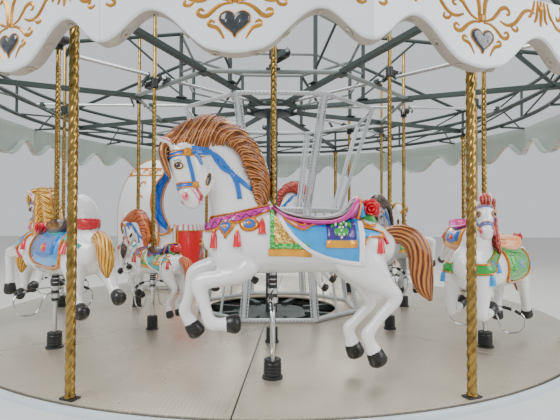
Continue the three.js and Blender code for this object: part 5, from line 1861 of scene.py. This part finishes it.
def hood():
    shell = hood_surface("hood", 48, 48, hood_point)
    facing(shell, (0.1, 0, HOOD_MIDDLE))
    modified(shell, "SOLIDIFY", thickness=HOOD_WALL, offset=-1, use_even_offset=True)
    parts = [painted(smooth(softened(shell, 0.006), 40), SHELL_WHITE)]
    for side in (-1, 1):
        parts.append(trim([hood_point(side, 0.02 + 0.96 * i / 30, 0.006) for i in range(31)], 0.013))
        parts.append(trim([hood_point(side * 0.985, 0.1 + 0.86 * i / 26, HOOD_WALL) for i in range(27)],
            0.009))
    parts.append(trim([hood_point(0, 0.03 + 0.94 * i / 24) for i in range(25)], 0.019))
    for level in (0.735, 0.80):
        parts.append(trim([hood_point(-0.98 + 1.96 * i / 32, level, 0, 0.001) for i in range(33)],
            0.011))
    taper = [1.3 - 0.1 * i for i in range(9)]
    for side in (-1, 1):
        for k in range(7):
            middle, turn = side * (0.12 + 0.13 * k), -1 if k % 2 else 1
            curl = [hood_point(middle + side * size * math.cos(angle) * 1.1,
                0.767 + turn * size * 0.55 * math.sin(angle), 0, 0.002)
                for angle, size in spiral(0.045, 0.4, 4.6, 8, 0.09)]
            parts.append(trim(curl, 0.011, taper))
        for k in range(5):
            curl = [hood_point(side * (0.88 - 0.03 * k) + side * size * math.cos(angle),
                0.30 + 0.09 * k + size * 0.5 * math.sin(angle), 0, 0.002)
                for angle, size in spiral(0.06, 0.2, 5.0, 8, 0.1)]
            parts.append(trim(curl, 0.009, taper))
    return parts


def tufted_lining():
    """The hood's quilted lining: diamonds drawn down to a button at each corner."""
    def skin(round_share, rise_share):
        a, b = (math.pi * (round_share * TUFTS_ROUND / 2 + way * rise_share * TUFTS_UP)
            for way in (1, -1))
        puff = (abs(math.sin(a) * math.sin(b))) ** 0.45
        rim = min(1, (1 - abs(round_share)) * 9)
        return hood_point(round_share * 0.965, rise_share, HOOD_WALL + 0.006 + 0.026 * puff * rim)

    lining = hood_surface("lining", 132, 100, skin, 0.36, 0.955)
    facing(lining, (0.15, 0, HOOD_MIDDLE), -1)
    modified(lining, "SOLIDIFY", thickness=0.004, offset=-1)
    return painted(smooth(lining, 60), TUFTED_BLUE)


def lining_buttons():
    stud = painted(ball((0, 0, 0), (7, 7, 7), 8), TRIM_YELLOW)
    spots = [(i / TUFTS_ROUND, j / (2 * TUFTS_UP)) for i in range(-TUFTS_ROUND, TUFTS_ROUND + 1)
        for j in range(2 * TUFTS_UP + 1) if (i + j) % 2 == 0]
    places = [Matrix.Translation(hood_point(across * 0.965, up, HOOD_WALL + 0.010))
        for across, up in spots if abs(across) <= 0.93 and 0.38 < up < 0.94]
    return copies(stud, "buttons", places)


def side_walls():
    """Low sides with a curved top edge, gold scrolls and a pillar at the front."""
    parts = []
    for side in (-1, 1):
        top = [(-0.03 + 0.366 * i / 12, SIDE_TOP - 0.10 * math.sin(math.pi * i / 12) ** 1.5)
            for i in range(13)]
        outline = [(-0.03, 0.06), (0.336, 0.06)] + top[::-1]
        y = side * (HOOD.y - HOOD_WALL)
        wall = raw_piece("side", [(x, y, z) for x, z in outline], faces=[range(len(outline))])
        modified(wall, "SOLIDIFY", thickness=HOOD_WALL * 0.94, offset=side)
        softened(wall, 0.005)
        parts.append(painted(smooth(outward(wall), 40), SHELL_WHITE))
        y_out, y_rail, y_bead = (side * (HOOD.y - inset) for inset in (0.002, 0.017, 0.004))
        parts.append(trim([(x, y_rail, z) for x, z in top], 0.014))
        for x, z, size, turn in ((0.06, 0.60, 0.075, 1), (0.18, 0.50, 0.085, -1),
                (0.05, 0.36, 0.075, -1), (0.2, 0.26, 0.08, 1)):
            curl = [(x + reach * math.cos(angle), y_out, z + turn * reach * math.sin(angle))
                for angle, reach in spiral(size, 0.5, 5.4, 10, 0.08)]
            parts.append(trim(curl, 0.009, [1.4 - 0.1 * i for i in range(11)]))
        parts.append(trim([(x, y_out, z) for x, z in ((0, 0.12), (0.1, 0.16), (0.06, 0.3), (0.14, 0.42),
            (0.08, 0.55), (0.13, 0.68))], 0.008))
        pillar = box((0.036, 0.034, 0.78), (0.314, side * (HOOD.y - 0.021), 0.45), 0.007)
        parts.append(painted(pillar, SHELL_WHITE))
        for x in (0.297, 0.331):
            parts.append(trim([(x, y_bead, z) for z in (0.08, 0.45, 0.83)], 0.005))
        cap = ball((314, side * (HOOD.y - 0.021) / MM, 838), (24, 20, 16), 12)
        parts.append(painted(cap, TRIM_YELLOW))
        parts.append(painted(box((0.5, 0.06, 0.062), (0.02, side * 0.2, 0.031), 0.01), SHELL_WHITE))
    return parts


def seat_outline(depth, half, count=20):
    """The plan of the seat: straight in front, half an ellipse behind."""
    return [(0.02 - depth * math.sin(math.pi * i / count), half * math.cos(math.pi * i / count))
        for i in range(count + 1)]


def bench():
    """The seat's box, round at the back like the shell it stands in."""
    foot = 0.06
    outline = seat_outline(0.397, 0.288)
    front = raw_piece("bench", [(x, y, foot) for x, y in outline], faces=[range(len(outline))])
    modified(front, "SOLIDIFY", thickness=BENCH_TOP - foot, offset=1)
    low = min(v.co.z for v in outward(front).data.vertices)
    softened(moved(front, Matrix.Translation((0, 0, foot - low))), 0.008)
    return painted(smooth(front, 40), SHELL_WHITE)


def cushion():
    """A crowned seat cushion: full in its middle, tucked in all round its rounded plan."""
    rows = ((0.985, 0.0), (1.0, 0.014), (1.01, 0.03), (1.0, 0.046), (0.97, 0.06), (0.9, 0.071),
        (0.78, 0.08), (0.6, 0.088), (0.4, 0.093), (0.2, 0.096))
    outline = seat_outline(0.385, 0.278, 36)
    outline += [(0.02, -0.278 + 0.556 * i / 20) for i in range(1, 20)]
    middle = Vector((-0.15, 0))
    points = [(middle.x + (x - middle.x) * share, y * share, BENCH_TOP + height)
        for share, height in rows for x, y in outline]
    count, last = len(outline), len(rows) - 1
    ends = [tuple(range(count))[::-1], tuple(range(last * count, (last + 1) * count))]
    return shaped("pad", points, grid(last, count) + ends, 60, TUFTED_BLUE)


def dash_point(angle, z, out=0.0):
    """A point of the red front: -90 to 90 degrees round its nose."""
    share = (z - DASH_FOOT) / (DASH_TOP - DASH_FOOT)
    swell = 0.90 + 0.10 * math.sin(math.pi * min(1, 0.18 + 0.82 * share)) ** 0.7
    turn = math.radians(angle)
    return Vector((DASH_BACK + (DASH.x * swell + out) * math.cos(turn),
        (DASH.y * swell + out) * math.sin(turn), z))


def dash():
    wide, high, folds = 40, 16, 14
    points = [dash_point(-90 + 180 * i / wide, DASH_FOOT + (DASH_TOP - 0.02 - DASH_FOOT) * j / high,
        -0.004) for j in range(high + 1) for i in range(wide + 1)]
    front = raw_piece("front", points, faces=grid(high, wide + 1, False))
    facing(front, (0.2, 0, 0.5))
    modified(front, "SOLIDIFY", thickness=0.026, offset=-1, use_even_offset=True)
    parts = [painted(smooth(front, 40), DASH_RED)]
    ruffle = []
    for i in range(folds * 8 + 1):
        angle = -90 + 180 * i / (folds * 8)
        wave = 0.007 * math.sin(math.pi * i / 4)
        ruffle += [
            dash_point(angle, DASH_TOP - 0.055, wave * 0.5 + 0.004),
            dash_point(angle, DASH_TOP - 0.015, wave + 0.004),
            dash_point(angle, DASH_TOP + 0.017, wave * 1.2 + 0.001)]
    frill = raw_piece("frill", ruffle, faces=grid(folds * 8, 3, False))
    painted(frill, WHITE_ENAMEL, RUFFLE_PINK)
    for n, face in enumerate(frill.data.polygons):
        face.material_index = 1 if (n // 2) % 8 in (1, 2) else 0
    modified(frill, "SOLIDIFY", thickness=0.006, offset=0)
    parts.append(smooth(frill, 60))
    for z in (DASH_FOOT + 0.014, DASH_TOP - 0.06):
        parts.append(trim([dash_point(-90 + 180 * i / 24, z, -0.002) for i in range(25)], 0.009))
    for angle in (-88, 88):
        parts.append(trim([dash_point(angle, DASH_FOOT + 0.02 + 0.7 * i / 12) for i in range(13)],
            0.010))
    for side in (-1, 1):
        for height, size, turn in ((0.24, 0.075, 1), (0.38, 0.085, -1), (0.54, 0.08, 1),
                (0.68, 0.065, -1)):
            curl = [dash_point(side * 13 + side * math.degrees(reach / DASH.x) * math.cos(angle),
                height + turn * reach * math.sin(angle), -0.001)
                for angle, reach in spiral(size, 0.4, 5.2, 10, 0.08)]
            parts.append(trim(curl, 0.011, [1.4 - 0.1 * i for i in range(11)]))
        sweep = [dash_point(side * (8 + 7 * math.sin(1.1 * i)), 0.13 + 0.062 * i, -0.001)
            for i in range(11)]
        parts.append(painted(wire(sweep, 0.012), WHITE_ENAMEL))
        leaf = [dash_point(side * (20 - 6 * math.sin(1.3 * i)), 0.2 + 0.06 * i, -0.001)
            for i in range(8)]
        parts.append(painted(wire(leaf, 0.010, 8, False, [0.3, 1, 1.5, 1, 0.5, 1, 1.5, 0.3]),
            TURQUOISE))
    return parts


def chariot():
    place = Matrix.Translation(CHARIOT)
    body = hood() + side_walls() + [lining_buttons()]
    body.append(painted(box((0.49, 0.62, 0.036), (0.08, 0, 0.08), 0.004), SHELL_WHITE))
    body.append(bench())
    for y in (-0.17, 0, 0.17):
        body.append(painted(box((0.012, 0.12, 0.2), (0.024, y, 0.27), 0.004), TRIM_YELLOW))
    dressed(moved(joined("shell", body), place), "hooded_chariot", "turntable", "chariot_white",
        "chariot_shell")
    for piece, name, fill in ((tufted_lining(), "tufted_hood_lining", 0.5),
            (cushion(), "chariot_cushion", 0.7)):
        soft = dressed(moved(piece, place), name, "turntable", "chariot_white")
    dressed(moved(joined("dash", dash()), place), "ruffled_red_dash", "turntable", "chariot_red",
        "chariot_dash")


chariot()
